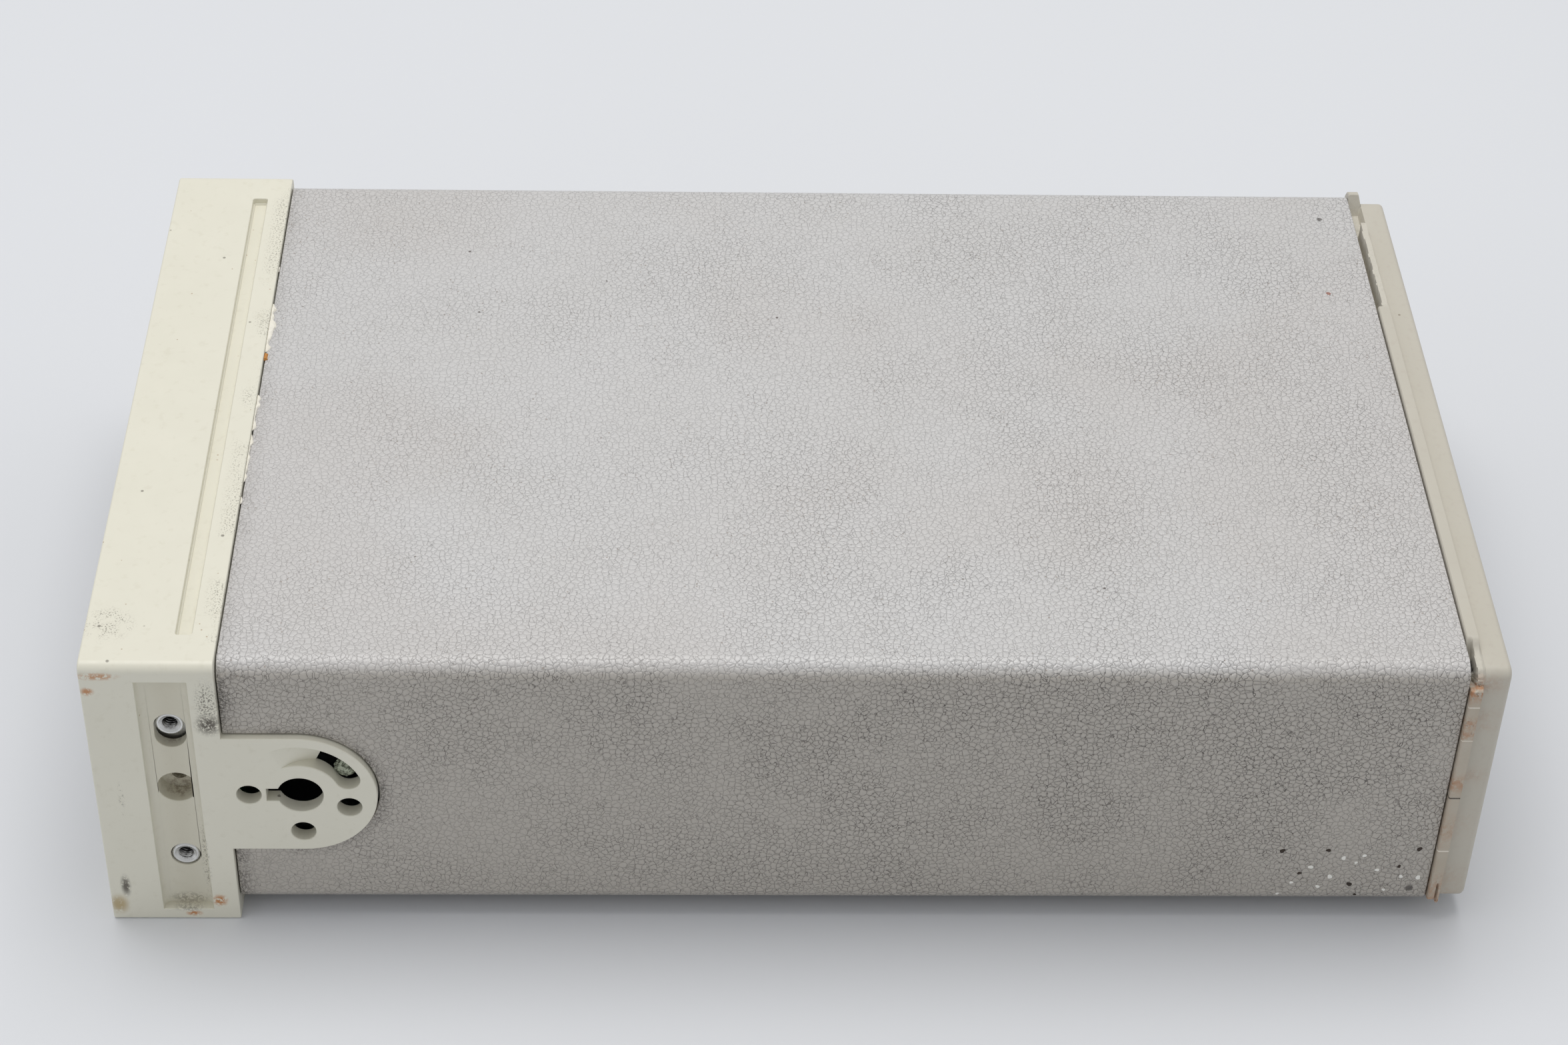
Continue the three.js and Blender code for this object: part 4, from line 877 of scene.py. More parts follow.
def front_frame():
    """The whole frame as one closed moulding."""
    shell = Shell()
    boundaries = {side: frame_side(shell, side) for _, side in SIDES}

    front_edge = 0.6

    def full(inset):
        return rounded_loop(-HALF, HALF, 0.0, HEIGHT, FRAME_LOW_R, FRAME_TOP_R, CORNER_STEPS, inset)

    rounded_front = [at_y(full(out), down) for down, out in rounding(front_edge, 5)]
    shell.grid(np.stack(rounded_front), wrap=True)

    corners = full(0.0)
    size = CORNER_STEPS + 1
    for k in range(4):
        strip = corners[k * size:(k + 1) * size]
        shell.grid(np.stack([at_y(strip, front_edge), at_y(strip, FRAME_BACK - EDGE)]))
    low_right, high_right, high_left, low_left = (corners[k * size:(k + 1) * size] for k in range(4))
    shell.fill([(low_left[-1][0], front_edge, 0), (low_right[0][0], front_edge, 0),
                (low_right[0][0], FRAME_BACK - EDGE, 0), (low_left[-1][0], FRAME_BACK - EDGE, 0)])

    def groove(grow, drop=0.0):
        loop = rounded_loop(-94.5 - grow, 94.5 + grow, 22.6 - grow, 26.7 + grow, 0.6 + grow, 0.6 + grow, 4)
        return np.stack([loop[:, 0], loop[:, 1], np.full(len(loop), HEIGHT - drop)], -1)

    floor_round = [(-0.45 * math.sin(t), 2.1 - 0.45 * math.cos(t)) for t in arc(0, 90, 3)]
    groove_rows = [groove(out, down) for down, out in rounding(0.3, 3)]
    groove_rows += [groove(*level) for level in floor_round]
    shell.grid(np.stack(groove_rows), wrap=True)
    shell.fill(groove_rows[-1])
    shell.fill([(high_left[0][0], front_edge, HEIGHT), (high_right[-1][0], front_edge, HEIGHT),
                (high_right[-1][0], FRAME_BACK - EDGE, HEIGHT),
                (high_left[0][0], FRAME_BACK - EDGE, HEIGHT)], groove_rows[0])

    def window(grow):
        half, bottom, top, radius = WINDOW
        return rounded_loop(-half - grow, half + grow, bottom - grow, top + grow, radius + grow,
                            radius + grow, 5)

    window_rows = [at_y(window(out), down) for down, out in rounding(0.5)]
    window_rows.append(at_y(window(0.0), PANEL_Y - 0.3))
    shell.grid(np.stack(window_rows), wrap=True)
    shell.fill(rounded_front[0], window_rows[0])

    wall_in = HALF - SIDE_WALL
    cavity = np.array([[wall_in, TOP_WALL], [wall_in, HEIGHT - TOP_WALL], [-wall_in, HEIGHT - TOP_WALL],
                       [-wall_in, TOP_WALL]])
    shell.fill(at_y(cavity, PANEL_Y - 0.3), window_rows[-1])
    for a, b in ((0, 3), (1, 2)):
        shell.fill([(cavity[a][0], PANEL_Y - 0.3, cavity[a][1]),
                    (cavity[b][0], PANEL_Y - 0.3, cavity[b][1]),
                    (cavity[b][0], FRAME_BACK, cavity[b][1]), (cavity[a][0], FRAME_BACK, cavity[a][1])])

    rear = {}
    for upper in (True, False):
        rows = []
        for down, out in rounding(EDGE):
            path = frame_path(down, upper, depth=down)
            path[[0, -1], 1] += -out if upper else out
            rows.append(at_y(path, FRAME_BACK - out))
        shell.grid(np.stack(rows))
        rear[upper] = rows[-1]
    (right_top, right_low), (left_top, left_low) = boundaries[1], boundaries[-1]
    loop = [rear[True], left_top[1:], left_low[::-1][:-1], rear[False][::-1], right_low[1:],
            right_top[::-1][:-1]]
    shell.fill(np.concatenate([np.reshape(part, (-1, 3)) for part in loop]), at_y(cavity, FRAME_BACK))
    return shell.piece("front_frame_moulding", CREAM, "frame_plastic", replaces="front_frame", origin=FRONT)


frame_piece = front_frame()
print(frame_piece.name, len(frame_piece.data.polygons), "faces")

# %% [markdown]
# ## The sleeve
# The sleeve is a folded sheet with round long edges. Each side has a notch that clears the handle lug.
# The front rim is one closed row of points that runs over the top, around one notch, under the bottom
# and around the other notch. Moving that row inwards and down gives the rounded edge of the sheet.

# %% Sleeve
SLEEVE = dict(half=104.9, z0=4.6, z1=87.8, radius=5.0, wall=1.9, y0=33.3, y1=342.7, notch=LUG_R + 0.4)


def sleeve_corner(which, depth, steps=12):
    """One rounded long edge of the sleeve seen from the front, at a depth under the outer skin."""
    s = SLEEVE
    start = {"high_right": 0, "high_left": 90, "low_left": 180, "low_right": 270}[which]
    side = 1 if which.endswith("right") else -1
    middle = s["z1"] - s["radius"] if which.startswith("high") else s["z0"] + s["radius"]
    turn = arc(start, start + 90, steps)
    radius = s["radius"] - depth
    return np.stack([side * (s["half"] - s["radius"]) + radius * np.cos(turn),
                     middle + radius * np.sin(turn)], -1)


def notch_edge(side, inset, depth):
    """The notch around the lug, from its upper front corner to its lower one."""
    s = SLEEVE
    radius = s["notch"] + inset
    turn = arc(90, -90, 40)
    ring = np.stack([LUG_Y + radius * np.cos(turn), LUG_Z + radius * np.sin(turn)], -1)
    front = s["y0"] + inset
    path = np.concatenate([[[front, LUG_Z + radius]], ring, [[front, LUG_Z - radius]]])
    return at_x(path, side * (s["half"] - depth))


def sleeve_front(inset, depth):
    """The whole front rim, as one closed row."""
    front = SLEEVE["y0"] + inset

    def corner(which):
        return at_y(sleeve_corner(which, depth), front)

    return np.concatenate([corner("high_right"), corner("high_left"), notch_edge(-1, inset, depth),
                           corner("low_left"), corner("low_right"), notch_edge(1, inset, depth)[::-1]])


def sleeve_rear(inset, depth):
    """The whole rear rim: the four round corners at one depth, as one closed row."""
    back = SLEEVE["y1"] - inset
    return np.concatenate([at_y(sleeve_corner(which, depth), back)
                           for which in ("high_right", "high_left", "low_left", "low_right")])


def case_sleeve():
    """The sheet as one closed body: two rounded rims, and inner and outer skins between them."""
    shell = Shell()
    s = SLEEVE
    edge, wall = 0.3, s["wall"]
    levels = [(out, down) for down, out in rounding(edge, 3)]
    levels += [(0.0, wall - 0.2), (0.2, wall)]
    shell.grid(np.stack([sleeve_front(*level) for level in levels]), wrap=True)
    shell.grid(np.stack([sleeve_rear(*level) for level in levels]), wrap=True)
    for inset, depth in (levels[0], levels[-1]):
        ends = (s["y0"] + inset, s["y1"] - inset)
        edges = {}
        for which in ("high_right", "high_left", "low_left", "low_right"):
            strip = sleeve_corner(which, depth)
            edges[which] = strip
            shell.grid(np.stack([at_y(strip, y) for y in ends]))
        for left, right in (("high_left", "high_right"), ("low_left", "low_right")):
            a = edges[left][0 if left.startswith("high") else -1]
            b = edges[right][-1 if right.startswith("high") else 0]
            shell.fill([(a[0], ends[0], a[1]), (b[0], ends[0], b[1]), (b[0], ends[1], b[1]),
                        (a[0], ends[1], a[1])])
        for side, high, low in ((1, edges["high_right"][0], edges["low_right"][-1]),
                                (-1, edges["high_left"][-1], edges["low_left"][0])):
            x = side * (s["half"] - depth)
            outline = [(x, ends[0], low[1]), (x, ends[1], low[1]), (x, ends[1], high[1]),
                       (x, ends[0], high[1])]
            shell.fill(np.concatenate([outline, notch_edge(side, inset, depth)]))
    return shell.piece("grained_sleeve", LEATHER, "sleeve_vinyl", replaces="case_sleeve", origin=FRONT)


sleeve_piece = case_sleeve()
print(sleeve_piece.name, len(sleeve_piece.data.polygons), "faces")

# %% [markdown]
# ## The rear bezel
# The bezel's body sits behind the sleeve, and its lip stands proud around the sleeve's end. Its outside
# is one sheet of points: columns run around the case, closely spaced on the top and on the near side,
# and rows run backwards. `proud` says how far each point stands out, from 0 on the body to 1 on the lip.
# Where the lip broke away, `proud` drops to nothing or below, and its edge wanders with repeatable
# noise.

# %% Rear bezel outlines
BODY = dict(half=103.1, z0=5.0, z1=85.8, radius=3.0)
LIP = dict(half=106.2, z0=3.5, z1=88.9, radius=5.0)
LIP_FRONT, BAND_END, STEP_END = 343.0, 345.95, 346.8
BEZEL_SCREW_X, BEZEL_SCREW_Z, GROUND_Z = 94.0, 45.2, 45.2


def around(half, z0, z1, radius):
    """The outline once around, anticlockwise from the low right corner, closely spaced on the near side
    and top."""
    def straight(a, b, count):
        share = np.linspace(0, 1, count + 2)[1:-1, None]
        return np.array(a) * (1 - share) + np.array(b) * share

    def corner(side, middle, start, steps=12):
        turn = arc(start, start + 90, steps)
        return np.stack([side * (half - radius) + radius * np.cos(turn), middle + radius * np.sin(turn)],
                        -1)

    low, high = z0 + radius, z1 - radius
    return np.concatenate([corner(1, low, -90), straight((half, low), (half, high), 150),
                           corner(1, high, 0), straight((half - radius, z1), (radius - half, z1), 420),
                           corner(-1, high, 90), straight((-half, high), (-half, low), 20),
                           corner(-1, low, 180), straight((radius - half, z0), (half - radius, z0), 30)])


BODY_RING, LIP_RING = around(**BODY), around(**LIP)
RING_X, RING_Z = LIP_RING[:, 0], LIP_RING[:, 1]
print("bezel outline:", len(BODY_RING), "columns")


def breakage(y):
    """Share of the lip that is left at depth y, column by column: 1 whole, 0 gone, below 0 hollow. Far
    top: gone near the corner, then a thin ragged strip. Near top corner: a rough band behind a gap. Near
    bottom corner: the front part ends first and the rear tip last."""
    left = np.ones(len(RING_X))
    along = RING_X
    on_top = RING_Z > LIP["z1"] - 1.2
    wander = ragged(along, 1.7, 3.0) - 0.5
    fine = ragged(along, 0.45, 7.0) - 0.5
    gone = ease(along, -101.2, -100.4) * (1 - ease(along, -88.0, -86.8)) * on_top
    strip = ease(along, -88.2, -87.2) * (1 - ease(along, -47.4, -45.8)) * on_top
    edge = 344.1 + 0.3 * wander + 0.12 * fine
    strip_left = -0.75 + (1.62 + 0.12 * wander) * ease(y, edge - 0.1, edge + 0.15)
    left = left * (1 - gone) + (-0.8 + 0.25 * fine) * gone
    left = left * (1 - strip) + np.minimum(strip_left, 0.93 + 0.1 * fine) * strip
    round_corner = (RING_X > 92.9) & (RING_Z > 82.2)
    place = np.where(RING_Z > LIP["z1"] - 1.2, RING_X, 100 + (LIP["z1"] - RING_Z) * 3)
    torn = ragged(place, 1.3, 11.0) - 0.5
    tiny = ragged(place, 0.4, 13.0) - 0.5
    near = round_corner * ease(RING_X, 92.8, 98.0) * ease(RING_Z, 82.2, 83.0)
    near_edge = 344.25 + 0.25 * torn + 0.1 * tiny
    near_left = -0.75 + (0.95 + 0.12 * torn + 0.05 * tiny) * ease(y, near_edge - 0.1, near_edge + 0.25)
    left = left * (1 - near) + near_left * near
    low = RING_X > 99
    front_end = 7.7 + 0.7 * (ragged(y * np.ones(len(RING_X)), 0.8, 5.0) - 0.5) - 2.1 * ease(y, 344.9, 345.3)
    left = left * np.where(low, ease(RING_Z, front_end - 0.5, front_end), 1.0)
    split = low * (1 - ease(RING_Z, 12.0, 14.5)) * np.exp(-((y - 345.05) / 0.16) ** 2)
    return left - 0.55 * split * (left > 0)


def proud(y):
    """How far the outside stands out at depth y: the lip's rounded front edge, flat band, chamfer and
    breakage."""
    front_round = 1.0 - 0.13 * (1 - ease(y, LIP_FRONT - 0.02, LIP_FRONT + 0.4)) ** 2
    whole = front_round * (1 - np.clip((y - BAND_END) / (STEP_END - BAND_END), 0, 1))
    rough = 0.035 * (hashed(RING_X * 3.1, RING_Z * 2.7, y) - 0.5)
    left = breakage(y)
    torn = np.clip((1 - left) * 3, 0, 1)
    return whole * left + rough * torn * (whole > 0.02)


# %% Rear bezel
def opened(half, z0, z1, radius, grow=0.0, steps=6):
    """A round-cornered opening about the case's middle, drawn larger by grow."""
    return rounded_loop(-half - grow, half + grow, z0 - grow, z1 + grow, radius + grow, radius + grow,
                        steps)


def rear_bezel():
    """Rows of the outside go from body outline to lip outline by the share that proud gives at each depth."""
    shell = Shell()
    rows_y = [LIP_FRONT, *(LIP_FRONT + np.array([0.0, 0.1, 0.25, 0.45])), *np.linspace(343.7, BAND_END, 10)]
    rows_y += [346.15, 346.4, 346.65, STEP_END]
    sheet = []
    for k, y in enumerate(rows_y):
        share = proud(y)
        if k == 0:
            share = np.minimum(share, 0.0)
        ring = BODY_RING + (LIP_RING - BODY_RING) * share[:, None]
        sheet.append(at_y(ring, y))
    size = 1.4
    round_end = [(size, 0.0)]
    round_end += [(size * (1 - math.sin(t)), size * (1 - math.cos(t))) for t in arc(0, 90, 6)[1:]]
    for down, out in round_end:
        inner = around(BODY["half"] - out, BODY["z0"] + out, BODY["z1"] - out, BODY["radius"] - out)
        sheet.append(at_y(inner, DEPTH - down))
    shell.grid(np.stack(sheet), wrap=True)

    def opening(grow):
        return opened(82.0, 12.0, 79.0, 1.2, grow)

    pocket = opened(84.7, 10.1, 80.9, 1.0)
    open_rows = [at_y(opening(out), DEPTH - down) for down, out in rounding(0.6)]
    open_rows.append(at_y(opening(0.0), 347.4))
    shell.grid(np.stack(open_rows), wrap=True)
    pocket_rows = [at_y(pocket, 347.4), at_y(pocket, LIP_FRONT)]
    shell.grid(np.stack(pocket_rows), wrap=True)
    shell.fill(pocket_rows[0], open_rows[-1])
    front_holes, rear_holes = [], []
    for _, side in SIDES:
        middle = (side * BEZEL_SCREW_X, BEZEL_SCREW_Z)
        profile = [(3.8 + out, DEPTH - down) for down, out in rounding(0.3)]
        profile += [(3.8, DEPTH - 2.6), (2.3, DEPTH - 2.6), (2.3, LIP_FRONT)]
        stack = [at_y(circle(middle, radius, 32), y) for radius, y in profile]
        shell.grid(np.stack(stack), wrap=True)
        rear_holes.append(stack[0])
        front_holes.append(stack[-1])
    shell.fill(sheet[-1], open_rows[0], *rear_holes)
    shell.fill(sheet[0], pocket_rows[-1], *front_holes)
    piece = shell.piece("rear_bezel_moulding", AGED, "bezel_plastic", replaces="rear_bezel", origin=FRONT)
    paint_bezel(piece)
    return piece


RUST_SIDE = ((81.6, 2.6, 1.0), (71.0, 1.8, 0.7), (67.0, 1.4, 0.7), (50.0, 2.6, 0.7), (33.0, 5.0, 0.35),
             (13.0, 4.0, 0.55), (6.3, 2.2, 1.0))


def paint_bezel(piece):
    """Writes the fracture and stain attributes from each vertex's own place."""
    mesh = piece.data
    place = np.empty(len(mesh.vertices) * 3, np.float32)
    mesh.vertices.foreach_get("co", place)
    x, y, z = (place.reshape(-1, 3) / MM).T
    y = y + DEPTH / 2
    band = ease(y, 342.5, 343.2) * (1 - ease(y, 346.2, 347.2))
    core = (1 - ease(y, 346.5, 346.9)) * ease(y, 342.8, 343.05)
    far_strip = ease(x, -101.5, -100.5) * (1 - ease(x, -47, -45)) * (z > 82.5)
    near_corner = ease(x, 94.0, 98.0) * ease(z, 82.0, 82.9)
    foot = ease(x, 99, 100) * (1 - ease(z, 7.2, 8.4))
    end_of_lip = near_corner * (1 - ease(z, 82.9, 84.0))
    fracture = core * np.clip(0.3 * far_strip + 0.25 * near_corner + end_of_lip + 0.4 * foot, 0, 1)
    side = ease(x, 102.0, 103.0)
    patches = sum(weight * np.exp(-((z - middle) / reach) ** 2) for middle, reach, weight in RUST_SIDE)
    front_edge = (1 - ease(y, 343.3, 344.3)) * ease(y, 342.4, 342.8)
    stain = side * (patches * (0.1 + 0.85 * band) + 0.08 * front_edge)
    stain = stain + 0.5 * np.exp(-((x + 2) / 2.2) ** 2 - ((y - 349) / 1.2) ** 2) * (z > 84)
    stain = stain + 0.9 * np.exp(-((y - 347.8) / 0.5) ** 2 - ((z - 20.3) / 0.9) ** 2) * side
    for name, values in (("fracture", fracture), ("stain", np.clip(stain, 0, 1))):
        attribute = mesh.attributes.new(name, "FLOAT", "POINT")
        attribute.data.foreach_set("value", values.astype(np.float32))


bezel_piece = rear_bezel()
print(bezel_piece.name, len(bezel_piece.data.polygons), "faces")


def bezel_spigot():
    """The collar that locates the bezel inside the sleeve's end."""
    shell = Shell()
    half, z0, z1 = 102.6, 6.9, 85.5

    def outer(inset):
        return rounded_loop(-half, half, z0, z1, 2.6, 2.6, 8, inset)

    inner = rounded_loop(-half + 2.4, half - 2.4, z0 + 2.4, z1 - 2.4, 0.6, 0.6, 8)
    levels = [(336.5 + down, out) for down, out in rounding(0.5, 3)] + [(342.95, 0.0)]
    rows = [at_y(outer(inset), y) for y, inset in levels] + [at_y(inner, 342.95), at_y(inner, 336.5)]
    shell.grid(np.stack(rows + rows[:1]), wrap=True)
    return shell.piece("rear_bezel_spigot", AGED, "bezel_plastic", origin=FRONT)


print(bezel_spigot().name)

# %% [markdown]
# ## Inserts in the side of the frame
# Two steel inserts stand in each recess, with a real thread cut in their bores: along the bore the
# radius rises and falls once a pitch, and the phase turns with the angle, which makes the helix.

# %% Threaded inserts
def helix_radius(radius, height, pitch, axial, angle, hand=1):
    """Radius of a V thread at an axial place and angle."""
    phase = np.mod(axial / pitch + hand * angle / (2 * math.pi), 1.0)
    return radius + height * (1 - np.abs(2 * phase - 1))


def turned_x(shell, centre, profile, steps=48, bore=None):
    """A closed body turned about an axis along X. profile holds (x, radius) places in order around the
    section; bore = (x0, x1, radius, height, pitch) adds a threaded hole that closes the section."""
    angle = np.arange(steps) * 2 * math.pi / steps
    rows = [(np.full(steps, x), np.full(steps, radius)) for x, radius in profile]
    if bore:
        x0, x1, radius, height, pitch = bore
        count = max(8, int(abs(x1 - x0) / pitch * 8))
        for x in np.linspace(x0, x1, count):
            fade = min(1.0, abs(x - x0) / (0.4 * pitch), abs(x - x1) / (0.4 * pitch))
            rows.append((np.full(steps, x), helix_radius(radius, height * fade, pitch, x, angle)))
    rows.append(rows[0])
    sheet = [np.stack([x, centre[0] + r * np.cos(angle), centre[1] + r * np.sin(angle)], -1)
             for x, r in rows]
    shell.grid(np.stack(sheet), wrap=True)


def insert_steel():
    """Bright plated steel, darker and oily down the threaded bore, and painted near black deep inside as
    shade.
    """
    f = Finish("insert_steel", roughness=0.3, metallic=0.9)
    away = [f.math("SUBTRACT", f.axis("Z"), z * MM) for z in (UPPER_INSERT_Z, LOWER_INSERT_Z)]
    along = f.math("SUBTRACT", f.axis("Y"), (INSERT_Y - DEPTH / 2) * MM)
    reach = [f.math("SQRT", f.math("ADD", f.math("MULTIPLY", dz, dz), f.math("MULTIPLY", along, along)))
             for dz in away]
    in_bore = f.step(f.math("MINIMUM", *reach), 2.15 * MM, 2.4 * MM, 1, 0)
    depth_in = f.math("SUBTRACT", HALF * MM, f.math("ABSOLUTE", f.axis("X")))
    deep = f.step(depth_in, 3.6 * MM, 6.4 * MM)
    tone = f.mix(f.noise(300, 3), srgb(205, 205, 203), srgb(226, 226, 224))
    tone = f.mix(f.product(in_bore, f.step(f.noise(1500, 3), 0.5, 0.6, 0.2, 0.5)), tone, srgb(90, 84, 76))
    # painted shade: deep in the bore the steel is painted nearly black, where shade falls inside the hole
    tone = f.mix(f.product(in_bore, deep), tone, srgb(16, 15, 14))
    f.bump(f.noise(2200, 3, 0.6), 0.02 * MM, 0.5)
    return f.done(tone, f.step(f.noise(500, 3), 0.35, 0.65, 0.24, 0.4))


INSERT_STEEL = insert_steel()


def insert(word, side, row, z):
    """A flanged bush with a chamfered mouth and a V thread down its bore."""
    shell = Shell()
    low, high = node_box(f"{word}_{row}_insert")
    face = max(abs(low[0]), abs(high[0]))
    inner = min(abs(low[0]), abs(high[0]))
    flange = 100.3
    chamfer = 0.3
    outside = [(inner, 2.1), (inner, 2.5), (inner + 0.2, 2.7), (flange, 2.7), (flange, 3.35),
               (flange + 0.2, 3.55), (face - chamfer, 3.55), (face - 0.08, 3.55 - chamfer + 0.05),
               (face, 3.55 - chamfer - 0.1), (face, 2.85), (face - 0.12, 2.7), (face - 0.5, 2.25)]
    profile = [(side * x, radius) for x, radius in outside]
    turned_x(shell, (INSERT_Y, z), profile,
             bore=(side * (face - 0.6), side * (inner + 0.1), 1.95, 0.42, 0.8))
    return shell.piece(f"{word}_{row}_threaded_insert", INSERT_STEEL, "plated_steel",
                       replaces=f"{word}_{row}_insert", origin=FRONT, smooth=40)


for word, side in SIDES:
    for row, z in (("upper", UPPER_INSERT_Z), ("lower", LOWER_INSERT_Z)):
        print(insert(word, side, row, z).name)

# %% [markdown]
# ## Flakes in the joint between frame and sleeve
# Ragged crumbs of white filler, one of them rusty, cling to the top of the joint. Each is a flat closed
# strip whose width and height wander along its length.

# %% Joint flakes
def flake(name, x0, x1, width, height, seed, material=FILLER, y=33.05):
    """A strip along X: one six-point section scaled at each place by ragged widths and heights, which
    shrink to nothing at both ends."""
    shell = Shell()
    along = np.linspace(x0, x1, max(8, int((x1 - x0) / 0.5)))
    share = (along - x0) / (x1 - x0)
    envelope = np.clip(np.minimum(share, 1 - share) * 9, 0, 1) ** 0.6
    wide = width * envelope * (0.35 + 0.9 * ragged(along, 1.6, seed)) + 0.02
    tall = height * envelope * (0.5 + 0.7 * ragged(along, 0.9, seed + 3)) + 0.01
    base = SLEEVE["z1"] + 0.02
    section = ((0.0, 0.0), (0.0, 0.8), (0.15, 1.0), (0.55, 0.85), (0.85, 0.5), (1.0, 0.0))
    rows = [np.stack([along, y + u * wide + 0.12 * (ragged(along, 0.5, seed + k) - 0.5) * (u > 0.5),
                      base + v * tall * (0.85 + 0.3 * ragged(along, 0.6, seed + 9 + k))], -1)
            for k, (u, v) in enumerate(section)]
    shell.grid(np.stack(rows + rows[:1]))
    for end in (0, -1):
        shell.fill(np.stack([row[end] for row in rows]) if end
                   else np.stack([row[end] for row in rows])[::-1])
    return shell.piece(name, material, "frame_plastic", origin=FRONT, smooth=25)


RUSTY = moulded("rusty_filler", srgb(176, 112, 52), srgb(206, 150, 84), 0.8, 0.1, 0.3)
flake("joint_flake_far", -44.5, -22.0, 1.5, 0.75, 2.0)
flake("joint_flake_rusty", -21.5, -18.2, 1.2, 0.6, 5.0, RUSTY)
flake("joint_flake_middle", -3.0, 12.5, 0.9, 0.6, 8.0)
flake("joint_flake_near", 14.0, 34.0, 0.75, 0.5, 14.0)
flake("joint_crumb_1", 40.0, 43.0, 0.5, 0.35, 21.0)
flake("joint_crumb_2", -62.0, -59.5, 0.45, 0.35, 27.0)

# %% [markdown]
# A pale speckled lump, taken to be old adhesive, fills the deep end of the near lug's curved slot.

# %% Lump in the curved slot
def slot_lump():
    """A squashed, bumpy ball of rings about the slot's centre line, with two sine waves in its skin."""
    shell = Shell()
    steps, rings = 26, 14
    turn = math.radians(29.0)
    middle = np.array([HALF - 3.9, LUG_Y + SLOT_ORBIT * math.cos(turn),
                       LUG_Z + SLOT_ORBIT * math.sin(turn)])
    rows = []
    for k, rise in enumerate(np.linspace(-86, 86, rings)):
        angle = np.arange(steps) * 2 * math.pi / steps
        bumpy = 1 + 0.16 * np.sin(3 * angle + k * 1.7) + 0.1 * np.sin(7 * angle + k * 2.3)
        ring = math.cos(math.radians(rise)) * bumpy
        along, across = 2.6 * ring * np.cos(angle), 2.7 * ring * np.sin(angle)
        y = middle[1] - math.sin(turn) * along + math.cos(turn) * across
        z = middle[2] + math.cos(turn) * along + math.sin(turn) * across
        rows.append(np.stack([np.full(steps, middle[0] + 1.5 * math.sin(math.radians(rise))), y, z], -1))
    shell.grid(np.stack(rows), wrap=True)
    shell.fill(rows[0])
    shell.fill(rows[-1])
    return shell.piece("slot_lump", LUMP, "frame_plastic", origin=FRONT, smooth=60)


def speckled_lump():
    """Crumbly grey-green adhesive with dark grit."""
    f = Finish("speckled_lump", roughness=0.85, specular=0.2)
    tone = f.mix(f.step(f.noise(900, 4, 0.75), 0.4, 0.62), srgb(86, 90, 76), srgb(186, 192, 172))
    tone = f.mix(f.product(f.dots(1500, 0.3, 0.4), 0.8), tone, srgb(48, 50, 42))
    f.bump(f.noise(1300, 4, 0.7), 0.3 * MM, 0.9)
    return f.done(tone)


LUMP = speckled_lump()
print("made", slot_lump().name)

# %% [markdown]
# Paint and dirt have dripped on the lower rear of the near side. Each drip is a low round cap on the
# sleeve's skin. Drips fall anywhere inside a patch, so repeatable noise picks each one's place and
# radius. The drips of one kind share the patch's length out between them, and the height's noise is
# squared, because most sit near the bottom.

# %% Drips on the lower rear of the side
DRIPS = dict(front=302.0, rear=340.0, low=8.0, high=27.0, small=0.4, large=0.8)
PAINT_DRIPS = 12
DIRT_DRIPS = 7


def drips(name, material, count, seed):
    """Low caps on the sleeve's side: rings of a wavy circle, the last one sunk into the skin. Drip k of n
    lies at a noisy place in the k-th of n equal lengths, at a height of squared noise."""
    shell = Shell()
    number = np.arange(count)
    ys = DRIPS["front"] + (DRIPS["rear"] - DRIPS["front"]) * (number + hashed(number, seed)) / count
    zs = DRIPS["low"] + (DRIPS["high"] - DRIPS["low"]) * hashed(number, seed, 1) ** 2
    radii = DRIPS["small"] + (DRIPS["large"] - DRIPS["small"]) * hashed(number, seed, 2)
    for k, (y, z, radius) in enumerate(zip(ys, zs, radii)):
        angle = np.arange(14) * 2 * math.pi / 14
        wavy = 1 + 0.16 * np.sin(2 * angle + k) + 0.1 * np.sin(3 * angle + 2.1 * k)
        rows = []
        for share, lift in ((0.3, 0.13), (0.7, 0.12), (0.95, 0.07), (1.0, -0.12)):
            around = np.stack([y + share * radius * wavy * np.cos(angle),
                               z + share * radius * wavy * np.sin(angle)], -1)
            below = np.clip(SLEEVE["z0"] + SLEEVE["radius"] - around[:, 1], 0, SLEEVE["radius"])
            skin = SLEEVE["half"] - SLEEVE["radius"] + np.sqrt(SLEEVE["radius"] ** 2 - below ** 2)
            rows.append(np.stack([skin + lift, around[:, 0], around[:, 1]], -1))
        shell.grid(np.stack(rows), wrap=True)
        shell.fill(rows[0])
        shell.fill(rows[-1])
    return shell.piece(name, material, "sleeve_vinyl", origin=FRONT, smooth=60)


DRIP_WHITE = moulded("dried_white_paint", srgb(232, 230, 222), srgb(250, 249, 244), 0.5, 0.05, 0.1)
DRIP_DIRT = moulded("dried_dirt", srgb(38, 32, 28), srgb(70, 58, 48), 0.7, 0.05, 0.2)
drips("paint_drips", DRIP_WHITE, PAINT_DRIPS, 14)
drips("dirt_drips", DRIP_DIRT, DIRT_DRIPS, 41)
print("made", PAINT_DRIPS + DIRT_DRIPS, "drips")

# %% [markdown]
# ## The jack field
# Sixteen quarter-inch jacks stand in two rows. Each has a black body behind the panel, a threaded
# bushing through it, and a plated washer and hexagon nut in front. A gold tip contact shows deep in the
# bore.

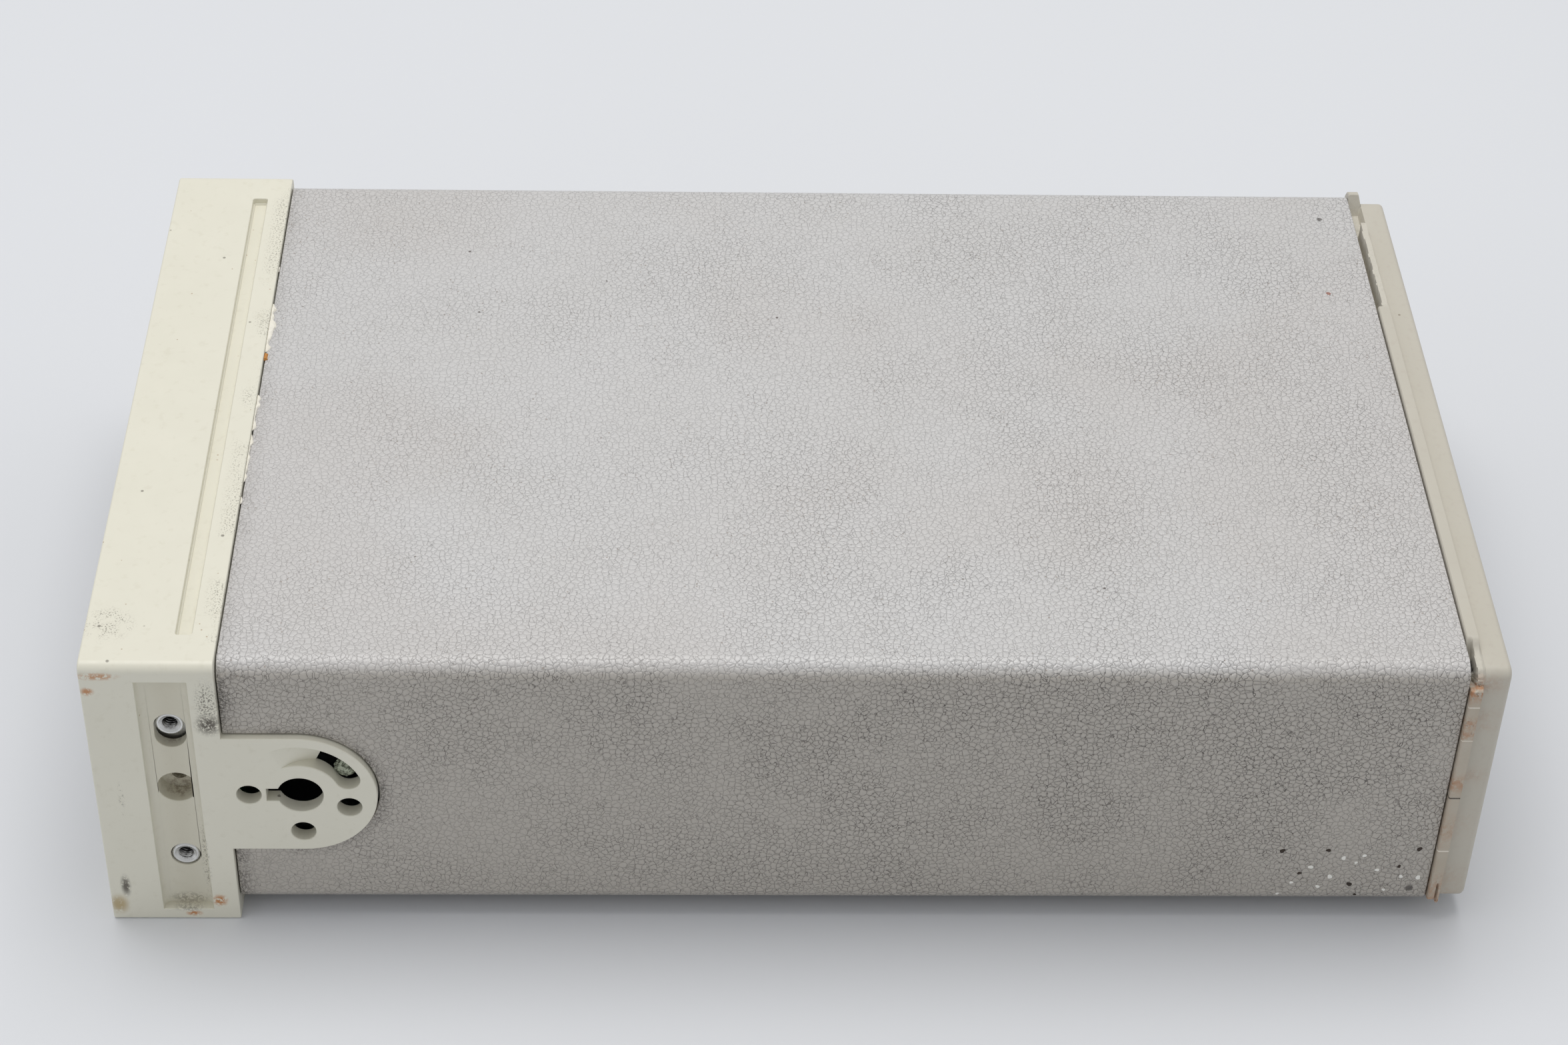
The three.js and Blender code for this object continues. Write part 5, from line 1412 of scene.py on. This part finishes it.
# %% Bodies turned about an axis along Y
def turned_y(shell, x, z, profile, steps=48, hexagon=None):
    """A closed ring turned about an axis along Y. profile holds (y, radius) places in order around the
    section, and hexagon limits the radius to a hexagon of that width across flats."""
    angle = np.arange(steps) * 2 * math.pi / steps
    flat = np.mod(angle + math.pi / 6, math.pi / 3) - math.pi / 6
    rows = []
    for y, radius in profile:
        ring = np.full(steps, float(radius))
        if hexagon:
            ring = np.minimum(ring, hexagon / 2 / np.cos(flat)) if radius > hexagon / 2 else ring
        rows.append((y, ring))
    rows.append(rows[0])
    sheet = [np.stack([x + r * np.cos(angle), np.full(steps, y), z + r * np.sin(angle)], -1)
             for y, r in rows]
    shell.grid(np.stack(sheet), wrap=True)


def closed_block(shell, x0, x1, y0, y1, z0, z1, radius=0.6, edge=0.25):
    """A block with round edges all over: rings of a round-cornered outline along Y, closed at both
    ends."""
    levels = [(y0 + down, out) for down, out in rounding(edge, 3)]
    levels += [(y1 - down, out) for down, out in rounding(edge, 3)[::-1]]
    rows = [at_y(rounded_loop(x0, x1, z0, z1, radius, radius, 4, inset), y) for y, inset in levels]
    shell.grid(np.stack(rows), wrap=True)
    shell.fill(rows[0])
    shell.fill(rows[-1])


def jack(row, column, x, z):
    """A body with its threaded bushing and bore, a washer and hexagon nut, and a bent tip contact."""
    name = f"{row}_jack_{column}"
    low, high = node_box(name)
    nose, back = low[1], high[1]
    body = Shell()
    panel_back = PANEL_Y + 2.3

    def ring(inset):
        return rounded_loop(x - 8, x + 8, z - 10, z + 10, 0.8, 0.8, 6, inset)

    rows = [at_y(ring(out), panel_back + down) for down, out in rounding(0.4, 3)]
    rows += [at_y(ring(inset), y)
             for inset, y in ((0.0, 24.0), (0.35, 24.2), (0.35, back - 0.5), (0.8, back))]
    body.grid(np.stack(rows), wrap=True)
    body.fill(rows[-1])
    bush = [(panel_back, 4.75), (PANEL_Y - 2.0, 4.75), (nose + 0.35, 4.55), (nose, 4.2), (nose, 3.75),
            (nose + 0.45, 3.3)]
    bore = [(31.0, 3.3), (31.4, 2.9)]
    angle = np.arange(48) * 2 * math.pi / 48
    sheet = []
    for y, radius in bush + bore:
        if (y, radius) == (PANEL_Y - 2.0, 4.75):
            for place in np.linspace(panel_back - 0.4, nose + 0.6, 40):
                sheet.append((place, helix_radius(4.42, 0.33, 0.8, place, angle)))
            continue
        sheet.append((y, np.full(48, radius)))
    sheet = [np.stack([x + r * np.cos(angle), np.full(48, y), z + r * np.sin(angle)], -1) for y, r in sheet]
    body.grid(np.stack(sheet), wrap=True)
    body.fill(sheet[-1])
    body.fill(rows[0], sheet[0])
    made = body.piece(f"{name}_socket", SOCKET, "jack_body", replaces=name, origin=FRONT)
    nut = Shell()
    turned_y(nut, x, z, [(7.75, 5.0), (7.75, 7.0), (7.65, 7.15), (7.3, 7.15), (7.2, 7.0), (7.2, 5.0)])
    turned_y(nut, x, z, [(7.15, 4.85), (7.15, 6.95), (5.75, 6.95), (5.4, 6.1), (5.4, 5.25), (5.6, 4.9)],
             hexagon=12.0, steps=96)
    nut.piece(f"{name}_nut", NICKEL, "plated_steel", origin=FRONT, smooth=28)
    contact = Shell()
    bend = np.linspace(0, 1, 14)
    reach = 1.9 - 1.1 * np.sin(bend * math.pi)
    line = np.stack([14.0 + bend * 13.0, reach], -1)
    half, thick = 1.0, 0.25
    rows = [np.stack([np.full(14, x + dx), line[:, 0], z + line[:, 1] + dz], -1)
            for dx, dz in ((-half, 0), (half, 0), (half, thick), (-half, thick))]
    contact.grid(np.stack(rows + rows[:1]))
    for end in (0, -1):
        contact.fill(np.stack([r[end] for r in rows]))
    contact.piece(f"{name}_tip_contact", BRASS, "plated_steel", origin=FRONT)
    return made


ROWS = {row: middle_z(f"{row}_jack_1") for row in ("upper", "lower")}
for row, z in ROWS.items():
    for column, x in enumerate(COLUMNS, 1):
        made = jack(row, column, x, z)
print("made 16 jacks; the last is", made.name, "with", len(made.data.polygons), "faces")

# %% [markdown]
# ## Mode switches
# A slide switch sits between the two jacks of each column. Its white cap has three grip ridges and rides
# on its own moving body; its housing is a black box with a pocket that the cap's base slides in.

# %% Mode switches
SWITCH_Z = middle_z("mode_slider_1")


def mode_slider(column, x):
    """The cap: a stem with a rounded, ridged top, and a wider base that runs inside the housing."""
    name = f"mode_slider_{column}"
    low, high = node_box(name)
    shell = Shell()
    closed_block(shell, x - 4.0, x + 4.0, high[1] - 2.4, high[1], SWITCH_Z - 2.5, SWITCH_Z + 2.5, 0.4, 0.2)
    count = 61
    across = np.linspace(-2.5, 2.5, count)
    top = low[1] + 0.5
    ridge = 0.5 * np.clip(1.35 * np.cos(across / 1.6 * math.pi) ** 8, 0, 1)
    shoulder = 0.35 * np.clip((np.abs(across) - 2.15) / 0.35, 0, 1) ** 2
    face = top - ridge + shoulder
    rows = []
    for dz, sink in ((-1.7, 0.35), (-1.55, 0.1), (-1.35, 0.0), (1.35, 0.0), (1.55, 0.1), (1.7, 0.35)):
        rows.append(np.stack([x + across, face + sink, np.full(count, SWITCH_Z + dz)], -1))
    base = [np.stack([x + across, np.full(count, high[1] - 2.45), np.full(count, SWITCH_Z + dz)], -1)
            for dz in (1.7, -1.7)]
    rows = rows + base
    shell.grid(np.stack(rows + rows[:1]))
    for end in (0, -1):
        shell.fill(np.stack([r[end] for r in rows]))
    return shell.piece(f"mode_slider_{column}_cap", CAP_WHITE, "switch_cap", body=f"slider_{column}",
                       replaces=name, origin=FRONT, smooth=30)


def mode_switch(column, x):
    """The housing: a black box with round edges and a pocket in front for the cap's base."""
    name = f"mode_switch_{column}"
    low, high = node_box(name)
    shell = Shell()

    def ring(inset):
        return rounded_loop(low[0], high[0], low[2], high[2], 0.6, 0.6, 4, inset)

    pocket = rounded_loop(x - 6.3, x + 6.3, SWITCH_Z - 2.8, SWITCH_Z + 2.8, 0.3, 0.3, 4)
    rows = [at_y(ring(out), low[1] + down) for down, out in rounding(0.3, 3)] + [at_y(ring(0.0), high[1])]
    shell.grid(np.stack(rows), wrap=True)
    shell.fill(rows[-1])
    hole = [at_y(pocket, low[1]), at_y(pocket, low[1] + 3.0)]
    shell.grid(np.stack(hole), wrap=True)
    shell.fill(hole[-1])
    shell.fill(rows[0], hole[0])
    return shell.piece(f"{name}_housing", BLACK, "black_plastic", replaces=name, origin=FRONT)


for column, x in enumerate(COLUMNS, 1):
    cap = mode_slider(column, x)
    mode_switch(column, x)
print("made switches; the last is", cap.name, "with", len(cap.data.polygons), "faces")

# %% [markdown]
# ## Panels
# The front panel is one dark plate with its holes punched through, a hairline frame printed around each
# column and a plain number above it. The rear panel has two D-shaped cut-outs and a ground screw.

# %% Plates with holes
def plate(name, outline, holes, y0, y1, material, slot, node, edge=0.2):
    """A flat plate with rounded outer edges; outline(inset) and each hole(grow) give loops of X and Z."""
    shell = Shell()
    rows = [at_y(outline(out), y0 + down) for down, out in rounding(edge, 3)]
    rows += [at_y(outline(out), y1 - down) for down, out in rounding(edge, 3)[::-1]]
    shell.grid(np.stack(rows), wrap=True)
    fronts, backs = [], []
    for hole in holes:
        stack = [at_y(hole(out), y0 + down) for down, out in rounding(edge * 0.6, 2)]
        stack += [at_y(hole(out), y1 - down) for down, out in rounding(edge * 0.6, 2)[::-1]]
        shell.grid(np.stack(stack), wrap=True)
        fronts.append(stack[0])
        backs.append(stack[-1])
    shell.fill(rows[0], *fronts)
    shell.fill(rows[-1], *backs)
    return shell.piece(name, material, slot, replaces=node, origin=FRONT)


low, high = node_box("front_panel")
panel_holes = [lambda grow, x=x, z=z: circle((x, z), 5.05 + grow, 40)
               for x in COLUMNS for z in ROWS.values()]
panel_holes += [lambda grow, x=x: rounded_loop(x - 4.8 - grow, x + 4.8 + grow, SWITCH_Z - 2 - grow,
                                               SWITCH_Z + 2 + grow, 0.4 + grow, 0.4 + grow, 4)
                for x in COLUMNS]
SCREW_PLACES = [(f"{word}_{row}_panel_screw", side * 91.5, z)
                for word, side in SIDES for row, z in (("lower", 14.5), ("upper", 74.5))]
panel_holes += [lambda grow, x=x, z=z: circle((x, z), 1.7 + grow, 24) for name, x, z in SCREW_PLACES]
panel = plate("front_panel_plate",
              lambda inset: rounded_loop(low[0], high[0], low[2], high[2], 0.5, 0.5, 4, inset),
              panel_holes, low[1], high[1], DARK_PAINT, "dark_panel", "front_panel")
print(panel.name, len(panel.data.polygons), "faces")


def printed(name, loops):
    """Ink on the front panel: thin raised bands, each between an outer and an inner loop."""
    shell = Shell()
    for outer, inner in loops:
        face, back = PANEL_Y - 0.06, PANEL_Y + 0.02
        rows = [at_y(outer, back), at_y(outer, face), at_y(inner, face), at_y(inner, back)]
        shell.grid(np.stack(rows + rows[:1]), wrap=True)
    return shell.piece(name, INK, "switch_cap", origin=FRONT)


def band(x, half, z0, z1, radius, width, steps):
    """Outer and inner loop of one printed outline about the line at x."""
    return [rounded_loop(x - half, x + half, z0, z1, radius, radius, steps, inset)
            for inset in (0.0, width)]


printed("printed_column_frames", [band(x, 9.8, 13.2, 75.4, 2.2, 0.35, 6) for x in COLUMNS])
printed("printed_switch_ticks", [band(x + dx, 0.22, SWITCH_Z + 3.4, SWITCH_Z + 5.0, 0.1, 0.2, 2)
                                 for x in COLUMNS for dx in (-2.0, 0.0, 2.0)])


def numeral(text, x, z, size):
    """A printed number, made from the built-in typeface and laid flat on the front panel."""
    curve = bpy.data.curves.new(f"numeral_{text}", "FONT")
    curve.body = text
    curve.size = size * MM
    curve.align_x = "CENTER"
    curve.extrude = 0.03 * MM
    helper = bpy.data.objects.new(f"numeral_{text}", curve)
    mesh = bpy.data.meshes.new_from_object(helper)
    bpy.data.objects.remove(helper)
    place = np.empty(len(mesh.vertices) * 3, np.float32)
    mesh.vertices.foreach_get("co", place)
    flat = place.reshape(-1, 3)
    moved = np.stack([flat[:, 0] + x * MM, (PANEL_Y - 0.03 - DEPTH / 2) * MM - flat[:, 2],
                      flat[:, 1] + z * MM], -1)
    mesh.vertices.foreach_set("co", moved.ravel().astype(np.float32))
    mesh.materials.clear()
    return finish_piece(mesh, f"printed_number_{text}", INK, "case", (), 30)


for column, x in enumerate(COLUMNS, 1):
    numeral(str(column), x, 76.2, 4.2)

# %% Screws
def slotted_screw(name, x, z, head_y, tip_y, radius, shank, height, slot, toward=-1):
    """A pan-head screw: domed head with a cut slot, a threaded shank, turned about an axis along Y.
    toward is the way the head faces along Y."""
    shell = Shell()
    steps, rings = 72, 14
    angle = np.arange(steps) * 2 * math.pi / steps
    rows = []
    for share in np.linspace(0.06, 1, rings):
        r = radius * share
        dome = 0.28 * height * share ** 4
        across = np.abs(r * np.sin(angle))
        cut = np.where(across < slot, 0.45 * height, 0.0) * np.clip((radius * 0.97 - r) * 8, 0, 1)
        rows.append((dome + cut, np.full(steps, r)))
    rows.append((np.full(steps, 0.45 * height), np.full(steps, radius)))
    rows.append((np.full(steps, height), np.full(steps, radius)))
    rows.append((np.full(steps, height), np.full(steps, shank)))
    length = abs(tip_y - head_y)
    for place in np.linspace(height + 0.3, length - 0.6, 60):
        rows.append((np.full(steps, place), helix_radius(shank * 0.84, shank * 0.15, 0.7, place, angle)))
    rows.append((np.full(steps, length), np.full(steps, shank * 0.6)))
    sheet = [np.stack([x + r * np.cos(angle), head_y - toward * d, z + r * np.sin(angle)], -1)
             for d, r in rows]
    shell.grid(np.stack(sheet), wrap=True)
    shell.fill(sheet[0])
    shell.fill(sheet[-1])
    return shell.piece(f"{name}_body", STEEL, "plated_steel", replaces=name, origin=FRONT, smooth=32)


for name, x, z in SCREW_PLACES:
    low, high = node_box(name)
    slotted_screw(name, x, z, low[1], high[1], 2.8, 1.38, 1.8, 0.4)
for word, side in SIDES:
    low, high = node_box(f"{word}_bezel_screw")
    slotted_screw(f"{word}_bezel_screw", side * BEZEL_SCREW_X, BEZEL_SCREW_Z, high[1], low[1], 3.5, 1.98,
                  2.3, 0.5, toward=1)
print("made", len(SCREW_PLACES) + 2, "screws")

# %% [markdown]
# ## The back
# Two 25-way connectors sit on the rear panel, with a hexagonal jack post at each end of each shell, and
# a ground screw with its nut between them.

# %% D-shaped shells
def d_loop(z, grow, steps=5):
    """A D-shaped outline, wider at the top, with round corners."""
    top, bottom, half, radius = 19.4 + grow, 17.6 + grow, 4.2 + grow, 1.6 + grow * 0.5
    corners = ((bottom, z - half, -90), (top, z + half, 0), (-top, z + half, 90), (-bottom, z - half, 180))
    points = []
    for x, zc, start in corners:
        side, up = (1 if x > 0 else -1), (1 if zc > z else -1)
        turn = arc(start, start + 90, steps)
        points.append(np.stack([x - side * radius + radius * np.cos(turn),
                                zc - up * radius + radius * np.sin(turn)], -1))
    return np.concatenate(points)


low, high = node_box("rear_panel")
D_ROWS = {row: middle_z(f"{row}_multiway_connector") for row in ("lower", "upper")}
rear_holes = [lambda grow, z=z: d_loop(z, 0.9 + grow) for z in D_ROWS.values()]
rear_holes.append(lambda grow: circle((0.0, GROUND_Z), 2.3 + grow, 32))
rear = plate("rear_panel_plate",
             lambda inset: rounded_loop(low[0], high[0], low[2], high[2], 0.8, 0.8, 4, inset),
             rear_holes, low[1], high[1], DARK_PAINT, "dark_panel", "rear_panel")
print(rear.name, len(rear.data.polygons), "faces")


def connector(row, z):
    """Plated flange and shell, a black insulator with two rows of contact holes, and a hexagonal post
    each side."""
    name = f"{row}_multiway_connector"
    low, high = node_box(name)
    face = high[1]
    flange = node_box("rear_panel")[1][1] + 0.3
    shell = Shell()

    def outline(inset):
        return rounded_loop(low[0], high[0], z - 6.2, z + 6.2, 1.5, 1.5, 6, inset)

    rows = [at_y(outline(out), flange + 1.0 - down) for down, out in rounding(0.3, 3)]
    rows.append(at_y(outline(0.0), flange))
    shell.grid(np.stack(rows), wrap=True)
    levels = ((flange + 1.0, 0.5), (flange + 1.2, 0.15), (flange + 1.6, 0.0), (face - 0.3, 0.0),
              (face, -0.2), (face, -0.45), (face - 0.3, -0.6), (flange + 1.3, -0.6))
    rise = [at_y(d_loop(z, grow), y) for y, grow in levels]
    shell.grid(np.stack(rise), wrap=True)
    shell.fill(rows[0], rise[0])
    shell.fill(rise[-1])
    back = [at_y(d_loop(z, 0.6), flange), at_y(d_loop(z, 0.6), low[1])]
    shell.grid(np.stack(back), wrap=True)
    shell.fill(back[-1])
    shell.fill(rows[-1], back[0])
    shell.piece(f"{name}_shell", NICKEL, "plated_steel", replaces=name, origin=FRONT)
    core = Shell()
    block = [at_y(d_loop(z, grow), y)
             for y, grow in ((flange + 1.35, -0.7), (face - 1.0, -0.7), (face - 0.8, -0.9))]
    core.grid(np.stack(block), wrap=True)
    core.fill(block[0])
    holes = []
    for count, dz in ((13, 1.42), (12, -1.42)):
        for k in range(count):
            centre = ((k - (count - 1) / 2) * 2.77, z + dz)
            stack = [at_y(circle(centre, r, 14), face - d)
                     for r, d in ((0.72, 0.8), (0.55, 1.0), (0.55, 3.2))]
            core.grid(np.stack(stack), wrap=True)
            core.fill(stack[-1])
            holes.append(stack[0])
    core.fill(block[-1], *holes)
    core.piece(f"{name}_insulator", BLACK, "black_plastic", origin=FRONT)
    for word, side in SIDES:
        post = Shell()
        x = side * 23.5
        top = face - 1.0
        turned_y(post, x, z, [(flange + 1.1, 1.2), (flange + 1.1, 2.6), (top - 0.3, 2.6), (top, 2.25),
                              (top, 1.7), (top - 0.3, 1.42)], hexagon=4.5, steps=72)
        post.piece(f"{row}_{word}_jack_post", STEEL, "plated_steel", origin=FRONT, smooth=28)


for row, z in D_ROWS.items():
    connector(row, z)

low, high = node_box("ground_post")
slotted_screw("ground_post", 0.0, GROUND_Z, low[1], high[1], 4.0, 1.95, 1.9, 0.5)
nut_low, nut_high = node_box("ground_nut")
nut = Shell()
nut_section = [(nut_low[1], 2.3), (nut_low[1], 4.2), (nut_low[1] + 0.35, 4.62),
               (nut_high[1] - 0.35, 4.62), (nut_high[1], 4.2), (nut_high[1], 2.6), (nut_high[1] - 0.3, 2.3)]
turned_y(nut, 0.0, GROUND_Z, nut_section, hexagon=8.0, steps=96)
nut.piece("ground_nut_body", NICKEL, "plated_steel", replaces="ground_nut", origin=FRONT, smooth=28)
print("made the rear connectors and the ground screw")

# %% [markdown]
# ## Inside and underneath
# The rails, tray, boards and ribbons are seen only through holes and gaps. Their shapes are already
# right, so they keep the engineering model's mesh and get finishes. The feet are turned rubber buttons.

# %% Feet and the parts that keep their mesh
for word, side in SIDES:
    low, high = node_box(f"{word}_rear_foot")
    x, y, top = 0.5 * (low[0] + high[0]), 0.5 * (low[1] + high[1]), high[2]
    foot = Shell()
    angle = np.arange(56) * 2 * math.pi / 56
    profile = [(2.0, 0.9), (2.3, 0.25), (2.8, 0.02), (5.3, 0.0), (5.8, 0.2), (6.1, 0.7), (6.75, 3.4),
               (6.95, top - 0.5), (6.9, top - 0.1), (6.6, top)]
    sheet = [np.stack([x + r * np.cos(angle), y + r * np.sin(angle), np.full(56, z)], -1)
             for r, z in profile]
    foot.grid(np.stack(sheet), wrap=True)
    foot.fill(sheet[0])
    foot.fill(sheet[-1])
    foot.piece(f"{word}_rear_foot_button", RUBBER, "rubber", replaces=f"{word}_rear_foot", origin=FRONT)

KEPT = {"chassis_tray": ALUMINIUM, "jack_board": BOARD, "connector_board": BOARD}
KEPT.update({f"{word}_{part}": finish for word, _ in SIDES
             for part, finish in (("side_rail", STEEL), ("ribbon_cable", RIBBON))})
for name, finish in KEPT.items():
    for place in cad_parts[name].material_slots:
        place.material = finish
print("repainted", sorted(KEPT))
